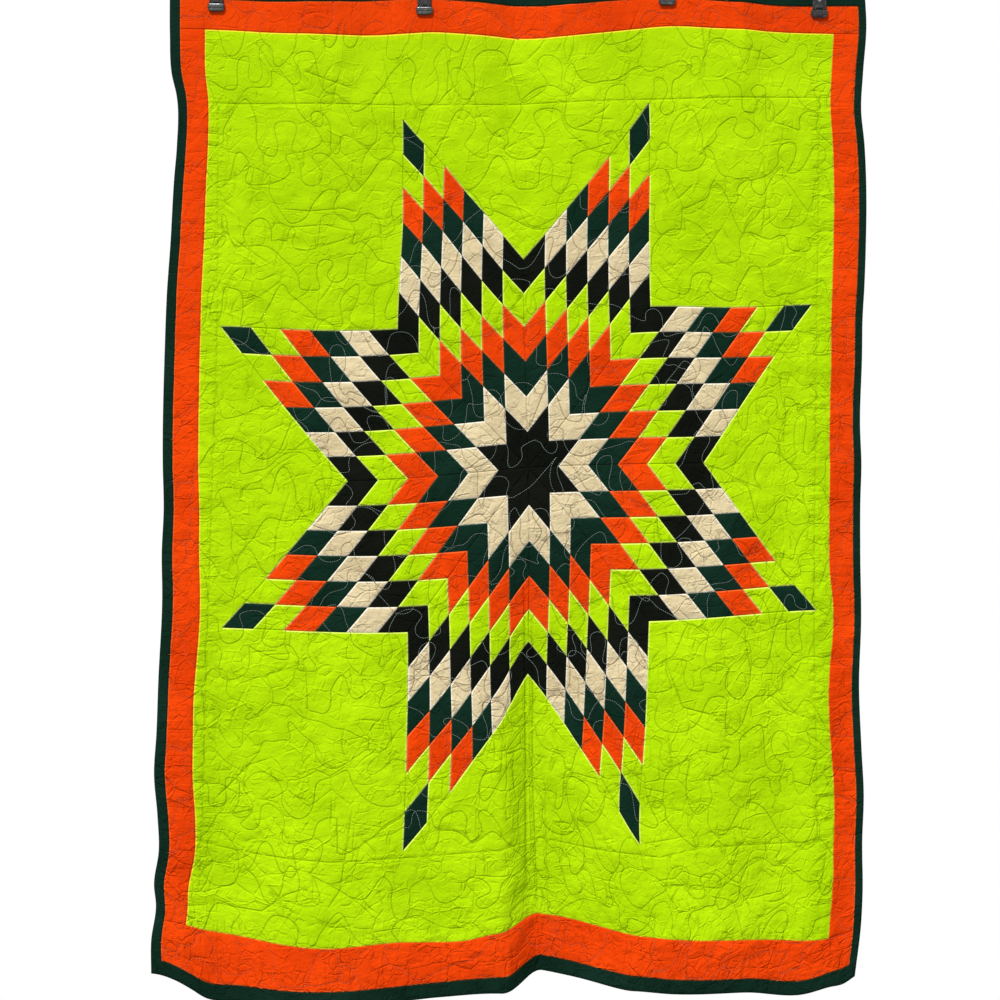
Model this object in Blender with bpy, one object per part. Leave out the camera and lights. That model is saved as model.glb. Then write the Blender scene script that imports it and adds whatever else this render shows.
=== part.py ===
"""A star quilt hung by its top edge from four pinch clips.

Metres, +Z up. The quilt faces -Y and the origin is the middle of the line that it hangs from.
Each panel is laid out flat first, across and up from the middle of the star, and hang() then
carries every flat place to where the cloth hangs. A panel has the quilt's full thickness.
"""

import math
from collections import namedtuple

import bmesh
import bpy
import numpy as np

MM = 0.001
ROOT_HALF = math.sqrt(0.5)

# The star: eight rhomb points of six by six diamonds, a little taller than they are wide.
DIAMONDS = 6
DIAMOND_ACROSS = 60.4 * MM
DIAMOND_UP = 75.1 * MM

# Widths of the bands outside the star's field, from the inside out.
Band = namedtuple("Band", "name left right top bottom")
FRAME = Band("frame", 44 * MM, 44 * MM, 148 * MM, 190 * MM)
BORDER = Band("border", 52 * MM, 52 * MM, 62 * MM, 88 * MM)
BINDING = Band("binding", 21 * MM, 16 * MM, 21 * MM, 33 * MM)

# Thickness where the quilting draws it in, how far it puffs up between, and the gap at a seam.
STITCHED_THICKNESS = 3.5 * MM
FRONT_PUFF = 3.4 * MM
BACK_PUFF = 1.6 * MM
SEAM_PUFF_SHARE = 0.25
PUFF_PITCH = 104 * MM
PUFF_WANDER = 31 * MM
PUFF_WANDER_PITCH = 330 * MM
SEAM_GAP = 0.3 * MM
NORMAL_STEP = 0.5 * MM
SHARP_ANGLE = math.radians(50)

# Quads along a point of the star and across each band.
STEPS = 10
FRAME_STEPS_TOP = 3
FRAME_STEPS_BOTTOM = 4
BORDER_STEPS = 2

# Where places on the star hang. across and up are in diamonds, x and drop in millimetres.
Pin = namedtuple("Pin", "across up x drop")
SIDE = DIAMONDS * ROOT_HALF
REACH = DIAMONDS + SIDE
STAR_PINS = (
    Pin(0, 0, 28, 995),
    Pin(0, DIAMONDS, 18, 558),
    Pin(DIAMONDS, 0, 395, 985),
    Pin(0, -DIAMONDS, 27, 1446),
    Pin(-DIAMONDS, 0, -351, 1023),
    Pin(SIDE, SIDE, 284, 657),
    Pin(-SIDE, SIDE, -246, 704),
    Pin(-SIDE, -SIDE, -225, 1340),
    Pin(SIDE, -SIDE, 281, 1317),
    Pin(SIDE, REACH, 281, 229),
    Pin(-SIDE, REACH, -235, 265),
    Pin(REACH, SIDE, 622, 653),
    Pin(REACH, -SIDE, 630, 1294),
    Pin(SIDE, -REACH, 262, 1785),
    Pin(-SIDE, -REACH, -235, 1798),
    Pin(-REACH, -SIDE, -615, 1331),
    Pin(-REACH, SIDE, -615, 699),
    Pin(-REACH, REACH, -611, 231),
    Pin(REACH, REACH, 624, 223),
    Pin(-REACH, -REACH, -630, 1784),
    Pin(REACH, -REACH, 635, 1776),
    Pin(0, -REACH, 44, 1808),
)

# Where corners of diamonds inside the star's points hang. The points are counted from the
# right-hand one counterclockwise, and near and far are diamonds along a point's two sides.
CornerPin = namedtuple("CornerPin", "point near far x drop")
CORNER_PINS = (
    CornerPin(0, 3, 6, 453, 659),
    CornerPin(2, 4, 4, -152, 498),
    CornerPin(2, 6, 3, -107, 412),
    CornerPin(2, 6, 4, -148, 362),
    CornerPin(2, 5, 5, -192, 383),
    CornerPin(2, 3, 6, -235, 480),
    CornerPin(3, 3, 6, -483, 868),
    CornerPin(5, 4, 4, -133, 1522),
    CornerPin(5, 6, 3, -227, 1559),
    CornerPin(5, 5, 5, -182, 1656),
    CornerPin(5, 4, 6, -137, 1676),
    CornerPin(5, 3, 6, -89, 1610),
    CornerPin(6, 4, 4, 188, 1507),
    CornerPin(6, 6, 3, 141, 1600),
    CornerPin(6, 6, 4, 178, 1649),
    CornerPin(6, 5, 5, 223, 1635),
    CornerPin(6, 3, 6, 273, 1540),
)

# Where the seams outside the lime frame and the border hang, and the rim. side and level are
# shares of the way from the middle out, from -1 to 1.
RimPin = namedtuple("RimPin", "side level x drop")
FRAME_PINS = (
    RimPin(-1, 1, -651, 75),
    RimPin(-0.27, 1, -168, 81),
    RimPin(0, 1, 12, 91),
    RimPin(0.48, 1, 325, 67),
    RimPin(1, 1, 668, 82),
    RimPin(-1, 0.35, -656, 699),
    RimPin(-1, 0, -665, 1012),
    RimPin(1, 0, 663, 972),
    RimPin(1, -0.25, 656, 1215),
    RimPin(-1, -0.5, -678, 1492),
    RimPin(1, -0.5, 658, 1466),
    RimPin(-1, -1, -702, 1953),
    RimPin(-0.62, -1, -409, 1999),
    RimPin(-0.4, -1, -254, 1990),
    RimPin(-0.22, -1, -108, 1989),
    RimPin(-0.11, -1, -31, 1974),
    RimPin(0, -1, 52, 1982),
    RimPin(0.27, -1, 220, 1978),
    RimPin(0.5, -1, 345, 1984),
    RimPin(1, -1, 662, 1981),
)
BORDER_PINS = (
    RimPin(-1, -1, -743, 2029),
    RimPin(0.53, -1, 347, 2065),
    RimPin(1, -1, 705, 2030),
)
RIM_PINS = (
    RimPin(-1, 1, -725, -12),
    RimPin(1, 1, 735, 4),
    RimPin(-1, 0, -741, 1015),
    RimPin(1, 0, 730, 975),
    RimPin(-1, -0.5, -755, 1552),
    RimPin(1, -0.5, 726, 1529),
    RimPin(-1, -1, -765, 2058),
    RimPin(0, -1, 58, 2102),
    RimPin(1, -1, 716, 2066),
)

# The outline of the hanging rim in millimetres: left and right by drop, top and bottom by x.
OutlinePoint = namedtuple("OutlinePoint", "along out")
LEFT_RIM = tuple(OutlinePoint(*row) for row in (
    (-12, -725), (82, -725), (168, -721), (214, -711), (317, -711), (388, -717),
    (527, -725), (622, -732), (748, -737), (987, -741), (1082, -739), (1174, -743),
    (1268, -742), (1441, -750), (1552, -754), (1640, -759), (1725, -752), (1798, -749),
    (1873, -759), (1913, -755), (1990, -765), (2058, -765),
))
RIGHT_RIM = tuple(OutlinePoint(*row) for row in (
    (4, 735), (63, 738), (166, 731), (242, 727), (317, 734), (420, 738), (521, 737),
    (611, 734), (685, 730), (760, 729), (905, 725), (990, 728), (1063, 726), (1174, 726),
    (1317, 728), (1453, 724), (1581, 729), (1682, 734), (1785, 731), (1886, 732), (1953, 729),
    (2066, 716),
))
TOP_RIM = tuple(OutlinePoint(*row) for row in (
    (-725, -12), (-627, -11), (-410, -4), (-190, -13), (-94, -8), (8, -3), (116, -2), (214, -9),
    (319, -15), (472, -2), (577, 5), (638, 5), (735, 4),
))
BOTTOM_RIM = tuple(OutlinePoint(*row) for row in (
    (-765, 2058), (-747, 2061), (-713, 2073), (-679, 2093), (-656, 2109), (-577, 2119),
    (-410, 2123), (-242, 2115), (-158, 2107), (-19, 2100), (94, 2116), (229, 2094),
    (330, 2098), (485, 2096), (598, 2104), (660, 2088), (691, 2082), (716, 2066),
))
OUTLINE_REACH = 170 * MM

# The sharp pleat below the star: how it deepens, lifts the hem and spreads to each side.
PLEAT_LEFT = 78 * MM
PLEAT_RIGHT = 240 * MM
PLEAT_START_UP = -120 * MM
PLEAT_DEPTH = 55 * MM
PLEAT_LIFT = 52 * MM

# Soft folds. Each runs from (x1, drop1) to (x2, drop2); a depth is positive away from the front.
Fold = namedtuple("Fold", "name x1 drop1 depth1 x2 drop2 depth2 left right")
FOLDS = (
    Fold("sag between the middle clips", 8, 0, 26, 20, 430, 0, 130, 130),
    Fold("belly between the left clips", -409, 0, -20, -380, 760, 0, 180, 180),
    Fold("belly between the right clips", 478, 0, -15, 450, 640, 0, 140, 140),
    Fold("left hollow", -620, 860, 0, -610, 2100, 20, 120, 130),
    Fold("left ridge", -420, 900, 0, -370, 2100, -22, 200, 210),
    Fold("right ridge", 430, 800, 0, 400, 2100, -18, 210, 210),
    Fold("right rim curling back", 700, 500, 0, 705, 2100, 16, 100, 90),
    Fold("left rim curling back", -735, 100, 10, -750, 1900, 6, 70, 90),
    Fold("hollow beside the star", 560, 300, 0, 560, 1150, 12, 150, 110),
)

# The pinch clips: where each one's lower end hangs, and the tilt of each in degrees.
Clip = namedtuple("Clip", "x drop tilt")
CLIPS = (Clip(-627, 38, 0.6), Clip(-190, 45, -0.8), Clip(319, 25, 0.5), Clip(638, 51, 1.2))
CLIP_WIDTH = 35 * MM
CLIP_NECK_WIDTH = 29 * MM
CLIP_CORNER = 9 * MM
CLIP_HEIGHT = 78 * MM
CLIP_LIP_HEIGHT = 16 * MM
CLIP_GROOVE = 2 * MM
CLIP_BRIDGE_HEIGHT = 9 * MM
JAW_LIP = 6.5 * MM
JAW_BODY = 4.5 * MM
JAW_GROOVE = 3 * MM
JAW_CHAMFER = 2 * MM
LIP_ROUND = 1 * MM
JAW_CLEARANCE = 0.3 * MM
SPRING_WIDTH = 10 * MM
SPRING_THICKNESS = 1.2 * MM
SPRING_LEG = 40 * MM
SPRING_ROUND = 2 * MM
CUTTER_MARGIN = 5 * MM
ARC_STEPS = 5
CLIP_FLAT_ACROSS = 78 * MM
CLIP_FLAT_DOWN = 150 * MM
CLIP_FADE = 120 * MM

# Colours in linear light, then roughness and metallic.
Finish = namedtuple("Finish", "colour roughness metallic")
FINISHES = {
    "star_cloth": Finish((0.80, 0.10, 0.02), 0.85, 0.0),
    "lime_cloth": Finish((0.45, 0.73, 0.002), 0.85, 0.0),
    "orange_cloth": Finish((0.80, 0.056, 0.005), 0.85, 0.0),
    "green_cloth": Finish((0.007, 0.027, 0.018), 0.9, 0.0),
    "clip_plastic": Finish((0.012, 0.012, 0.013), 0.4, 0.0),
    "clip_steel": Finish((0.55, 0.55, 0.56), 0.3, 1.0),
}

HALF_ACROSS = REACH * DIAMOND_ACROSS
HALF_UP = REACH * DIAMOND_UP
Edges = namedtuple("Edges", "left right bottom top")


def widened(edges, band):
    """The rectangle outside a band, from the one inside it."""
    return Edges(
        edges.left - band.left,
        edges.right + band.right,
        edges.bottom - band.bottom,
        edges.top + band.top,
    )


FIELD = Edges(-HALF_ACROSS, HALF_ACROSS, -HALF_UP, HALF_UP)
FRAMED = widened(FIELD, FRAME)
BORDERED = widened(FRAMED, BORDER)
RIM = widened(BORDERED, BINDING)


def smooth(share):
    """0 below 0, 1 above 1, and an S between."""
    share = np.clip(share, 0.0, 1.0)
    return share * share * (3.0 - 2.0 * share)


def bump(offset, left, right):
    """1 at no offset, falling smoothly to 0 at a distance to the left and to the right."""
    share = np.where(offset < 0, -offset / left, offset / right)
    return np.where(share < 1, np.cos(np.minimum(share, 1) * math.pi / 2) ** 2, 0.0)


def curve_through(points, at):
    """A smooth curve through outline points, read at distances along it."""
    along = np.array([point.along for point in points]) * MM
    out = np.array([point.out for point in points]) * MM
    slope = np.gradient(out, along)
    at = np.clip(at, along[0], along[-1])
    i = np.clip(np.searchsorted(along, at) - 1, 0, len(along) - 2)
    width = along[i + 1] - along[i]
    t = (at - along[i]) / width
    return (
        (1 + 2 * t) * (1 - t) ** 2 * out[i]
        + t * (1 - t) ** 2 * width * slope[i]
        + t * t * (3 - 2 * t) * out[i + 1]
        - t * t * (1 - t) * width * slope[i + 1]
    )


def plate_kernel(offsets):
    """The bending of a thin plate around each pin, for offsets of shape (n, pins, 2)."""
    square = np.maximum((offsets**2).sum(axis=2), 1e-12)
    return 0.5 * square * np.log(square)


def star_corner(eighths):
    """The flat place one side of a star point from the middle, eighths of a turn from +X."""
    angle = eighths * math.pi / 4
    length = DIAMONDS * np.array([DIAMOND_ACROSS, DIAMOND_UP])
    return length * (math.cos(angle), math.sin(angle))


def all_pins():
    """Flat places and where they hang, from the tables of pins."""
    flat = [(pin.across * DIAMOND_ACROSS, pin.up * DIAMOND_UP) for pin in STAR_PINS]
    hung = [(pin.x * MM, -pin.drop * MM) for pin in STAR_PINS]
    for pin in CORNER_PINS:
        near, far = star_corner(pin.point), star_corner(pin.point + 1)
        flat.append((pin.near * near + pin.far * far) / DIAMONDS)
        hung.append((pin.x * MM, -pin.drop * MM))
    tables = ((FRAME_PINS, FRAMED), (BORDER_PINS, BORDERED), (RIM_PINS, RIM))
    for pins, edges in tables:
        for pin in pins:
            across = pin.side * (edges.right if pin.side > 0 else -edges.left)
            up = pin.level * (edges.top if pin.level > 0 else -edges.bottom)
            flat.append((across, up))
            hung.append((pin.x * MM, -pin.drop * MM))
    return np.array(flat), np.array(hung)


def fit_plate():
    """Weights of the thin plate that bends the flat cloth through every pin."""
    flat, hung = all_pins()
    count = len(flat)
    system = np.zeros((count + 3, count + 3))
    system[:count, :count] = plate_kernel(flat[:, None] - flat[None])
    system[:count, count] = 1
    system[:count, count + 1 :] = flat
    system[count:, :count] = system[:count, count:].T
    target = np.zeros((count + 3, 2))
    target[:count] = hung
    return flat, np.linalg.solve(system, target)


PIN_PLACES, PLATE = fit_plate()


def bent(flat):
    """x and z of flat places on the thin plate, shape (n, 2)."""
    count = len(PIN_PLACES)
    kernel = plate_kernel(flat[:, None] - PIN_PLACES[None])
    return kernel @ PLATE[:count] + PLATE[count] + flat @ PLATE[count + 1 :]


def outline_shift(flat):
    """How far the uneven rim carries the cloth near it, across and up."""
    shift = np.zeros_like(flat)
    for side, points in ((RIM.left, LEFT_RIM), (RIM.right, RIGHT_RIM)):
        rim = bent(np.column_stack([np.full(len(flat), side), flat[:, 1]]))
        fade = smooth(1 - np.abs(flat[:, 0] - side) / OUTLINE_REACH)
        shift[:, 0] += (curve_through(points, -rim[:, 1]) - rim[:, 0]) * fade
    for level, points in ((RIM.top, TOP_RIM), (RIM.bottom, BOTTOM_RIM)):
        rim = bent(np.column_stack([flat[:, 0], np.full(len(flat), level)]))
        fade = smooth(1 - np.abs(flat[:, 1] - level) / OUTLINE_REACH)
        shift[:, 1] += (-curve_through(points, rim[:, 0]) - rim[:, 1]) * fade
    return shift


def near_a_clip(place):
    """1 where a clip holds the cloth flat, fading to 0 away from it."""
    held = np.zeros(len(place))
    for clip in CLIPS:
        across = (np.abs(place[:, 0] - clip.x * MM) - CLIP_FLAT_ACROSS) / CLIP_FADE
        down = (-place[:, 1] - CLIP_FLAT_DOWN) / CLIP_FADE
        held = np.maximum(held, (1 - smooth(across)) * (1 - smooth(down)))
    return held


def fold_depth(place):
    """How far the soft folds carry the cloth back from the front plane."""
    depth = np.zeros(len(place))
    for fold in FOLDS:
        share = (-place[:, 1] - fold.drop1 * MM) / ((fold.drop2 - fold.drop1) * MM)
        share = np.clip(share, 0.0, 1.0)
        line = (fold.x1 + (fold.x2 - fold.x1) * share) * MM
        deep = (fold.depth1 + (fold.depth2 - fold.depth1) * smooth(share)) * MM
        depth += deep * bump(place[:, 0] - line, fold.left * MM, fold.right * MM)
    return depth


def hang(flat):
    """Where flat places hang, shape (n, 3)."""
    flat = np.asarray(flat, dtype=float)
    place = bent(flat) + outline_shift(flat)
    open_share = 1 - near_a_clip(place)
    fall = np.clip((PLEAT_START_UP - flat[:, 1]) / (PLEAT_START_UP - RIM.bottom), 0, 1)
    pleat = bump(flat[:, 0], PLEAT_LEFT, PLEAT_RIGHT) * fall
    depth = fold_depth(place) * open_share + PLEAT_DEPTH * pleat
    return np.column_stack([place[:, 0], depth, place[:, 1] + PLEAT_LIFT * pleat])


def facing(flat):
    """Unit normals of the hanging cloth, towards the front."""
    across = hang(flat + (NORMAL_STEP, 0)) - hang(flat - (NORMAL_STEP, 0))
    up = hang(flat + (0, NORMAL_STEP)) - hang(flat - (0, NORMAL_STEP))
    normal = np.cross(across, up)
    return normal / np.linalg.norm(normal, axis=1, keepdims=True)


def puff(flat):
    """How full the quilt stands between its lines of quilting, from 0 to 1, uneven in size."""
    turn = 2 * math.pi
    wander = PUFF_WANDER * np.sin(turn * flat[:, ::-1] / PUFF_WANDER_PITCH)
    waves = np.sin(turn * (flat + wander) / PUFF_PITCH)
    return 0.5 + 0.5 * waves[:, 0] * waves[:, 1]


def inset(corners, gap):
    """A convex outline, counterclockwise, with every side moved in by a gap."""
    corners = np.asarray(corners, dtype=float)
    moved = []
    for i, corner in enumerate(corners):
        before = corner - corners[i - 1]
        after = corners[(i + 1) % len(corners)] - corner
        lines = []
        for way in (before, after):
            inward = np.array([-way[1], way[0]]) / np.linalg.norm(way)
            lines.append((inward, inward @ corner + gap))
        normals = np.array([line[0] for line in lines])
        moved.append(np.linalg.solve(normals, [line[1] for line in lines]))
    return np.array(moved)


# A flat patch: its points, its faces and the loop of its rim, both counterclockwise.
Patch = namedtuple("Patch", "points faces rim")


def grid_patch(rows):
    """A patch from rows of points: each row runs to the right, and the rows go up."""
    rows = np.asarray(rows, dtype=float)
    height, width = rows.shape[:2]
    index = np.arange(height * width).reshape(height, width)
    faces = [
        (index[j, i], index[j, i + 1], index[j + 1, i + 1], index[j + 1, i])
        for j in range(height - 1)
        for i in range(width - 1)
    ]
    rim = [*index[0, :-1], *index[:-1, -1], *index[-1, :0:-1], *index[:0:-1, 0]]
    return Patch(rows.reshape(-1, 2), faces, rim)


def rhomb_patch(corners):
    """A patch of even steps over four corners, moved in by half the seam's gap."""
    a, b, c, d = inset(corners, SEAM_GAP / 2)
    share = np.linspace(0, 1, STEPS + 1)
    rows = [
        [(1 - u) * (1 - v) * a + u * (1 - v) * b + u * v * c + (1 - u) * v * d for u in share]
        for v in share
    ]
    return grid_patch(rows)


def triangle_patch(corners):
    """A patch of even steps over three corners, moved in by half the seam's gap."""
    a, b, c = inset(corners, SEAM_GAP / 2)
    index = {}
    points = []
    for j in range(STEPS + 1):
        for i in range(STEPS + 1 - j):
            index[i, j] = len(points)
            points.append(a + (b - a) * i / STEPS + (c - a) * j / STEPS)
    faces = []
    for j in range(STEPS):
        for i in range(STEPS - j):
            faces.append((index[i, j], index[i + 1, j], index[i, j + 1]))
            if i + j < STEPS - 1:
                faces.append((index[i + 1, j], index[i + 1, j + 1], index[i, j + 1]))
    rim = [index[i, 0] for i in range(STEPS)]
    rim += [index[STEPS - j, j] for j in range(STEPS)]
    rim += [index[0, STEPS - j] for j in range(STEPS)]
    return Patch(np.array(points), faces, rim)


def band_patch(across, up):
    """A straight band's patch over places across and up, moved in by half the seam's gap."""
    across, up = np.array(across, dtype=float), np.array(up, dtype=float)
    for places in (across, up):
        places[0] += SEAM_GAP / 2
        places[-1] -= SEAM_GAP / 2
    return grid_patch([[(s, t) for s in across] for t in up])


def mitred_patch(inner, outer):
    """A binding's patch between two rows of the same count, the first to the last upwards."""
    corners = inset((inner[0], inner[-1], outer[-1], outer[0]), SEAM_GAP / 2)
    rows = np.array([inner, outer], dtype=float)
    inward = (corners[0] - rows[0, 0], corners[3] - rows[1, 0])
    along = rows[0, -1] - rows[0, 0]
    along /= np.linalg.norm(along)
    for row, shift in zip(rows, inward):
        row += shift - along * (shift @ along)
    rows[0, 0], rows[0, -1], rows[1, -1], rows[1, 0] = corners
    return grid_patch(rows)


def make_object(name, vertices, faces, finish):
    """A new object with its own material."""
    mesh = bpy.data.meshes.new(name)
    mesh.from_pydata([tuple(map(float, vertex)) for vertex in vertices], [], faces)
    mesh.validate()
    material = bpy.data.materials.new(name)
    material.use_nodes = True
    shader = material.node_tree.nodes["Principled BSDF"]
    shader.inputs["Base Color"].default_value = (*FINISHES[finish].colour, 1)
    shader.inputs["Roughness"].default_value = FINISHES[finish].roughness
    shader.inputs["Metallic"].default_value = FINISHES[finish].metallic
    mesh.materials.append(material)
    obj = bpy.data.objects.new(name, mesh)
    bpy.context.scene.collection.objects.link(obj)
    return obj


def make_panel(name, patch, finish):
    """One panel of the quilt: its flat patch hung, thickened and closed round its rim."""
    flat = patch.points
    middle, normal = hang(flat), facing(flat)
    fullness = puff(flat) * (1 - near_a_clip(middle[:, [0, 2]]))
    fullness[patch.rim] *= SEAM_PUFF_SHARE
    front = middle + normal * (STITCHED_THICKNESS / 2 + FRONT_PUFF * fullness)[:, None]
    back = middle - normal * (STITCHED_THICKNESS / 2 + BACK_PUFF * fullness)[:, None]
    count = len(flat)
    faces = [tuple(int(i) for i in face) for face in patch.faces]
    faces += [tuple(i + count for i in reversed(face)) for face in faces]
    # Both panels at a seam split the twisted quads of their walls the same way.
    order = flat @ (1.0, 2.0)
    for a, b in zip(patch.rim, [*patch.rim[1:], patch.rim[0]]):
        a, b = int(a), int(b)
        if order[a] < order[b]:
            faces += [(a, a + count, b + count), (a, b + count, b)]
        else:
            faces += [(a, a + count, b), (a + count, b + count, b)]
    panel = make_object(name, np.vstack([front, back]), faces, finish)
    panel.data.shade_smooth()
    panel.data.set_sharp_from_angle(angle=SHARP_ANGLE)


def make_star_and_field():
    """The eight points, the corner squares and the side triangles between them."""
    middle = np.zeros(2)
    for k in range(8):
        near, far = star_corner(k), star_corner(k + 1)
        corners = (middle, near, near + far, far)
        make_panel(f"star_point_{k + 1}", rhomb_patch(corners), "star_cloth")
    for k, name in ((1, "upper_right"), (3, "upper_left"), (5, "lower_left"), (7, "lower_right")):
        start, first, last = star_corner(k), star_corner(k - 1), star_corner(k + 1)
        corners = (start, start + first, start + first + last, start + last)
        make_panel(f"corner_square_{name}", rhomb_patch(corners), "lime_cloth")
    for k, name in ((0, "right"), (2, "top"), (4, "left"), (6, "bottom")):
        start, first, last = star_corner(k), star_corner(k - 1), star_corner(k + 1)
        corners = (start, start + first, start + last)
        make_panel(f"side_triangle_{name}", triangle_patch(corners), "lime_cloth")


def field_places(half, side):
    """The places where panels meet the field's edge: a square, a triangle and a square."""
    return [
        *np.linspace(-half, -side, STEPS + 1),
        *np.linspace(-side, side, STEPS + 1)[1:],
        *np.linspace(side, half, STEPS + 1)[1:],
    ]


def make_bands():
    """The lime frame, the orange border and the binding, all on one set of grid places."""
    across = field_places(HALF_ACROSS, SIDE * DIAMOND_ACROSS)
    up = field_places(HALF_UP, SIDE * DIAMOND_UP)
    frame_up = list(np.linspace(FIELD.top, FRAMED.top, FRAME_STEPS_TOP + 1))
    frame_down = list(np.linspace(FRAMED.bottom, FIELD.bottom, FRAME_STEPS_BOTTOM + 1))
    wide = [FRAMED.left, *across, FRAMED.right]
    make_panel("frame_strip_top", band_patch(wide, frame_up), "lime_cloth")
    make_panel("frame_strip_bottom", band_patch(wide, frame_down), "lime_cloth")
    make_panel("frame_strip_left", band_patch([FRAMED.left, FIELD.left], up), "lime_cloth")
    make_panel("frame_strip_right", band_patch([FIELD.right, FRAMED.right], up), "lime_cloth")

    tall = [*frame_down[:-1], *up, *frame_up[1:]]
    wider = [BORDERED.left, *wide, BORDERED.right]
    border_up = list(np.linspace(FRAMED.top, BORDERED.top, BORDER_STEPS + 1))
    border_down = list(np.linspace(BORDERED.bottom, FRAMED.bottom, BORDER_STEPS + 1))
    make_panel("border_top", band_patch(wider, border_up), "orange_cloth")
    make_panel("border_bottom", band_patch(wider, border_down), "orange_cloth")
    make_panel("border_left", band_patch([BORDERED.left, FRAMED.left], tall), "orange_cloth")
    make_panel("border_right", band_patch([FRAMED.right, BORDERED.right], tall), "orange_cloth")

    taller = [*border_down[:-1], *tall, *border_up[1:]]
    outer_across = [RIM.left, *wider[1:-1], RIM.right]
    outer_up = [RIM.bottom, *taller[1:-1], RIM.top]
    strips = {
        "top": ([(s, BORDERED.top) for s in wider], [(s, RIM.top) for s in outer_across]),
        "bottom": ([(s, RIM.bottom) for s in outer_across], [(s, BORDERED.bottom) for s in wider]),
        "left": (
            [(BORDERED.left, t) for t in taller],
            [(RIM.left, t) for t in outer_up],
        ),
        "right": (
            [(RIM.right, t) for t in outer_up],
            [(BORDERED.right, t) for t in taller],
        ),
    }
    for name, (low, high) in strips.items():
        make_panel(f"binding_{name}", mitred_patch(low, high), "green_cloth")


def extruded(name, profile, way, low, high, finish):
    """A closed prism: a profile in the plane across one axis, drawn out along that axis."""
    def point(pair, along):
        return (along, *pair) if way == "x" else (pair[0], along, pair[1])

    count = len(profile)
    vertices = [point(pair, low) for pair in profile] + [point(pair, high) for pair in profile]
    faces = [tuple(range(count)), tuple(range(2 * count - 1, count - 1, -1))]
    faces += [(i, i + count, (i + 1) % count + count, (i + 1) % count) for i in range(count)]
    obj = make_object(name, vertices, faces, finish)
    shape = bmesh.new()
    shape.from_mesh(obj.data)
    bmesh.ops.recalc_face_normals(shape, faces=shape.faces)
    shape.to_mesh(obj.data)
    shape.free()
    return obj


def jaw_profile(side):
    """A jaw from the side, as (y, z) from its lower end: lip, groove, body and bridge."""
    inner = STITCHED_THICKNESS / 2 + JAW_CLEARANCE
    groove_top = CLIP_LIP_HEIGHT + CLIP_GROOVE
    points = [
        (inner, 0),
        (inner + JAW_LIP - JAW_CHAMFER, 0),
        (inner + JAW_LIP, JAW_CHAMFER),
        (inner + JAW_LIP, CLIP_LIP_HEIGHT - LIP_ROUND),
        (inner + JAW_LIP - LIP_ROUND, CLIP_LIP_HEIGHT),
        (inner + JAW_GROOVE, CLIP_LIP_HEIGHT),
        (inner + JAW_GROOVE, groove_top),
        (inner + JAW_BODY, groove_top),
        (inner + JAW_BODY, CLIP_HEIGHT),
    ]
    if side < 0:
        bridge = CLIP_HEIGHT - CLIP_BRIDGE_HEIGHT
        far = -inner + JAW_CLEARANCE
        points += [(far, CLIP_HEIGHT), (far, bridge), (inner, bridge)]
    else:
        points += [(inner, CLIP_HEIGHT)]
    return [(y * side, z) for y, z in points]


def jaw_outline():
    """A jaw from the front, as (x, z) from its lower end: round corners, then a narrower neck."""
    half, neck = CLIP_WIDTH / 2, CLIP_NECK_WIDTH / 2
    right = []
    for step in range(ARC_STEPS + 1):
        angle = -math.pi / 2 + step * math.pi / 2 / ARC_STEPS
        x = half - CLIP_CORNER + CLIP_CORNER * math.cos(angle)
        right.append((x, CLIP_CORNER + CLIP_CORNER * math.sin(angle)))
    groove_top = CLIP_LIP_HEIGHT + CLIP_GROOVE
    right += [(half, CLIP_LIP_HEIGHT), (neck, groove_top), (neck, CLIP_HEIGHT + CUTTER_MARGIN)]
    return right + [(-x, z) for x, z in reversed(right)]


def spring_profile():
    """The spring band from the side, as (y, z): a leg on each jaw and a flat top over both."""
    inner = STITCHED_THICKNESS / 2 + 2 * JAW_CLEARANCE + JAW_BODY
    outer = inner + SPRING_THICKNESS
    top = CLIP_HEIGHT + JAW_CLEARANCE
    foot = CLIP_HEIGHT - SPRING_LEG
    over = top + SPRING_THICKNESS
    return [
        (outer, foot), (outer, over - SPRING_ROUND), (outer - SPRING_ROUND, over),
        (-outer + SPRING_ROUND, over), (-outer, over - SPRING_ROUND), (-outer, foot),
        (-inner, foot), (-inner, top), (inner, top), (inner, foot),
    ]


def make_clip(number, clip):
    """One pinch clip: two jaws cut to their outline, and the spring band over them."""
    carrier = bpy.data.objects.new(f"clip_{number}", None)
    bpy.context.scene.collection.objects.link(carrier)
    carrier.location = (clip.x * MM, 0, -clip.drop * MM)
    carrier.rotation_euler = (0, math.radians(clip.tilt), 0)
    deep = STITCHED_THICKNESS + JAW_LIP + CUTTER_MARGIN
    cutter = extruded(f"clip_{number}_outline", jaw_outline(), "y", -deep, deep, "clip_plastic")
    cutter.parent = carrier
    cutter.hide_render = True
    cutter.display_type = "WIRE"
    half = CLIP_WIDTH / 2 + CUTTER_MARGIN
    for side, name in ((-1, "front_jaw"), (1, "back_jaw")):
        node = f"clip_{number}_{name}"
        jaw = extruded(node, jaw_profile(side), "x", -half, half, "clip_plastic")
        jaw.parent = carrier
        cut = jaw.modifiers.new("outline", "BOOLEAN")
        cut.operation = "INTERSECT"
        cut.solver = "EXACT"
        cut.object = cutter
    node = f"clip_{number}_spring"
    half = SPRING_WIDTH / 2
    spring = extruded(node, spring_profile(), "x", -half, half, "clip_steel")
    spring.parent = carrier


def main():
    for obj in list(bpy.data.objects):
        bpy.data.objects.remove(obj)
    make_star_and_field()
    make_bands()
    for number, clip in enumerate(CLIPS, start=1):
        make_clip(number, clip)


main()
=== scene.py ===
"""Looks of the hanging star quilt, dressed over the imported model.

Metres, +Z up; the pieced face looks along -Y. Every cloth is laid out flat first, in metres across
and up from the middle of the star, and Drape carries each flat place to where it hangs.
"""

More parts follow.
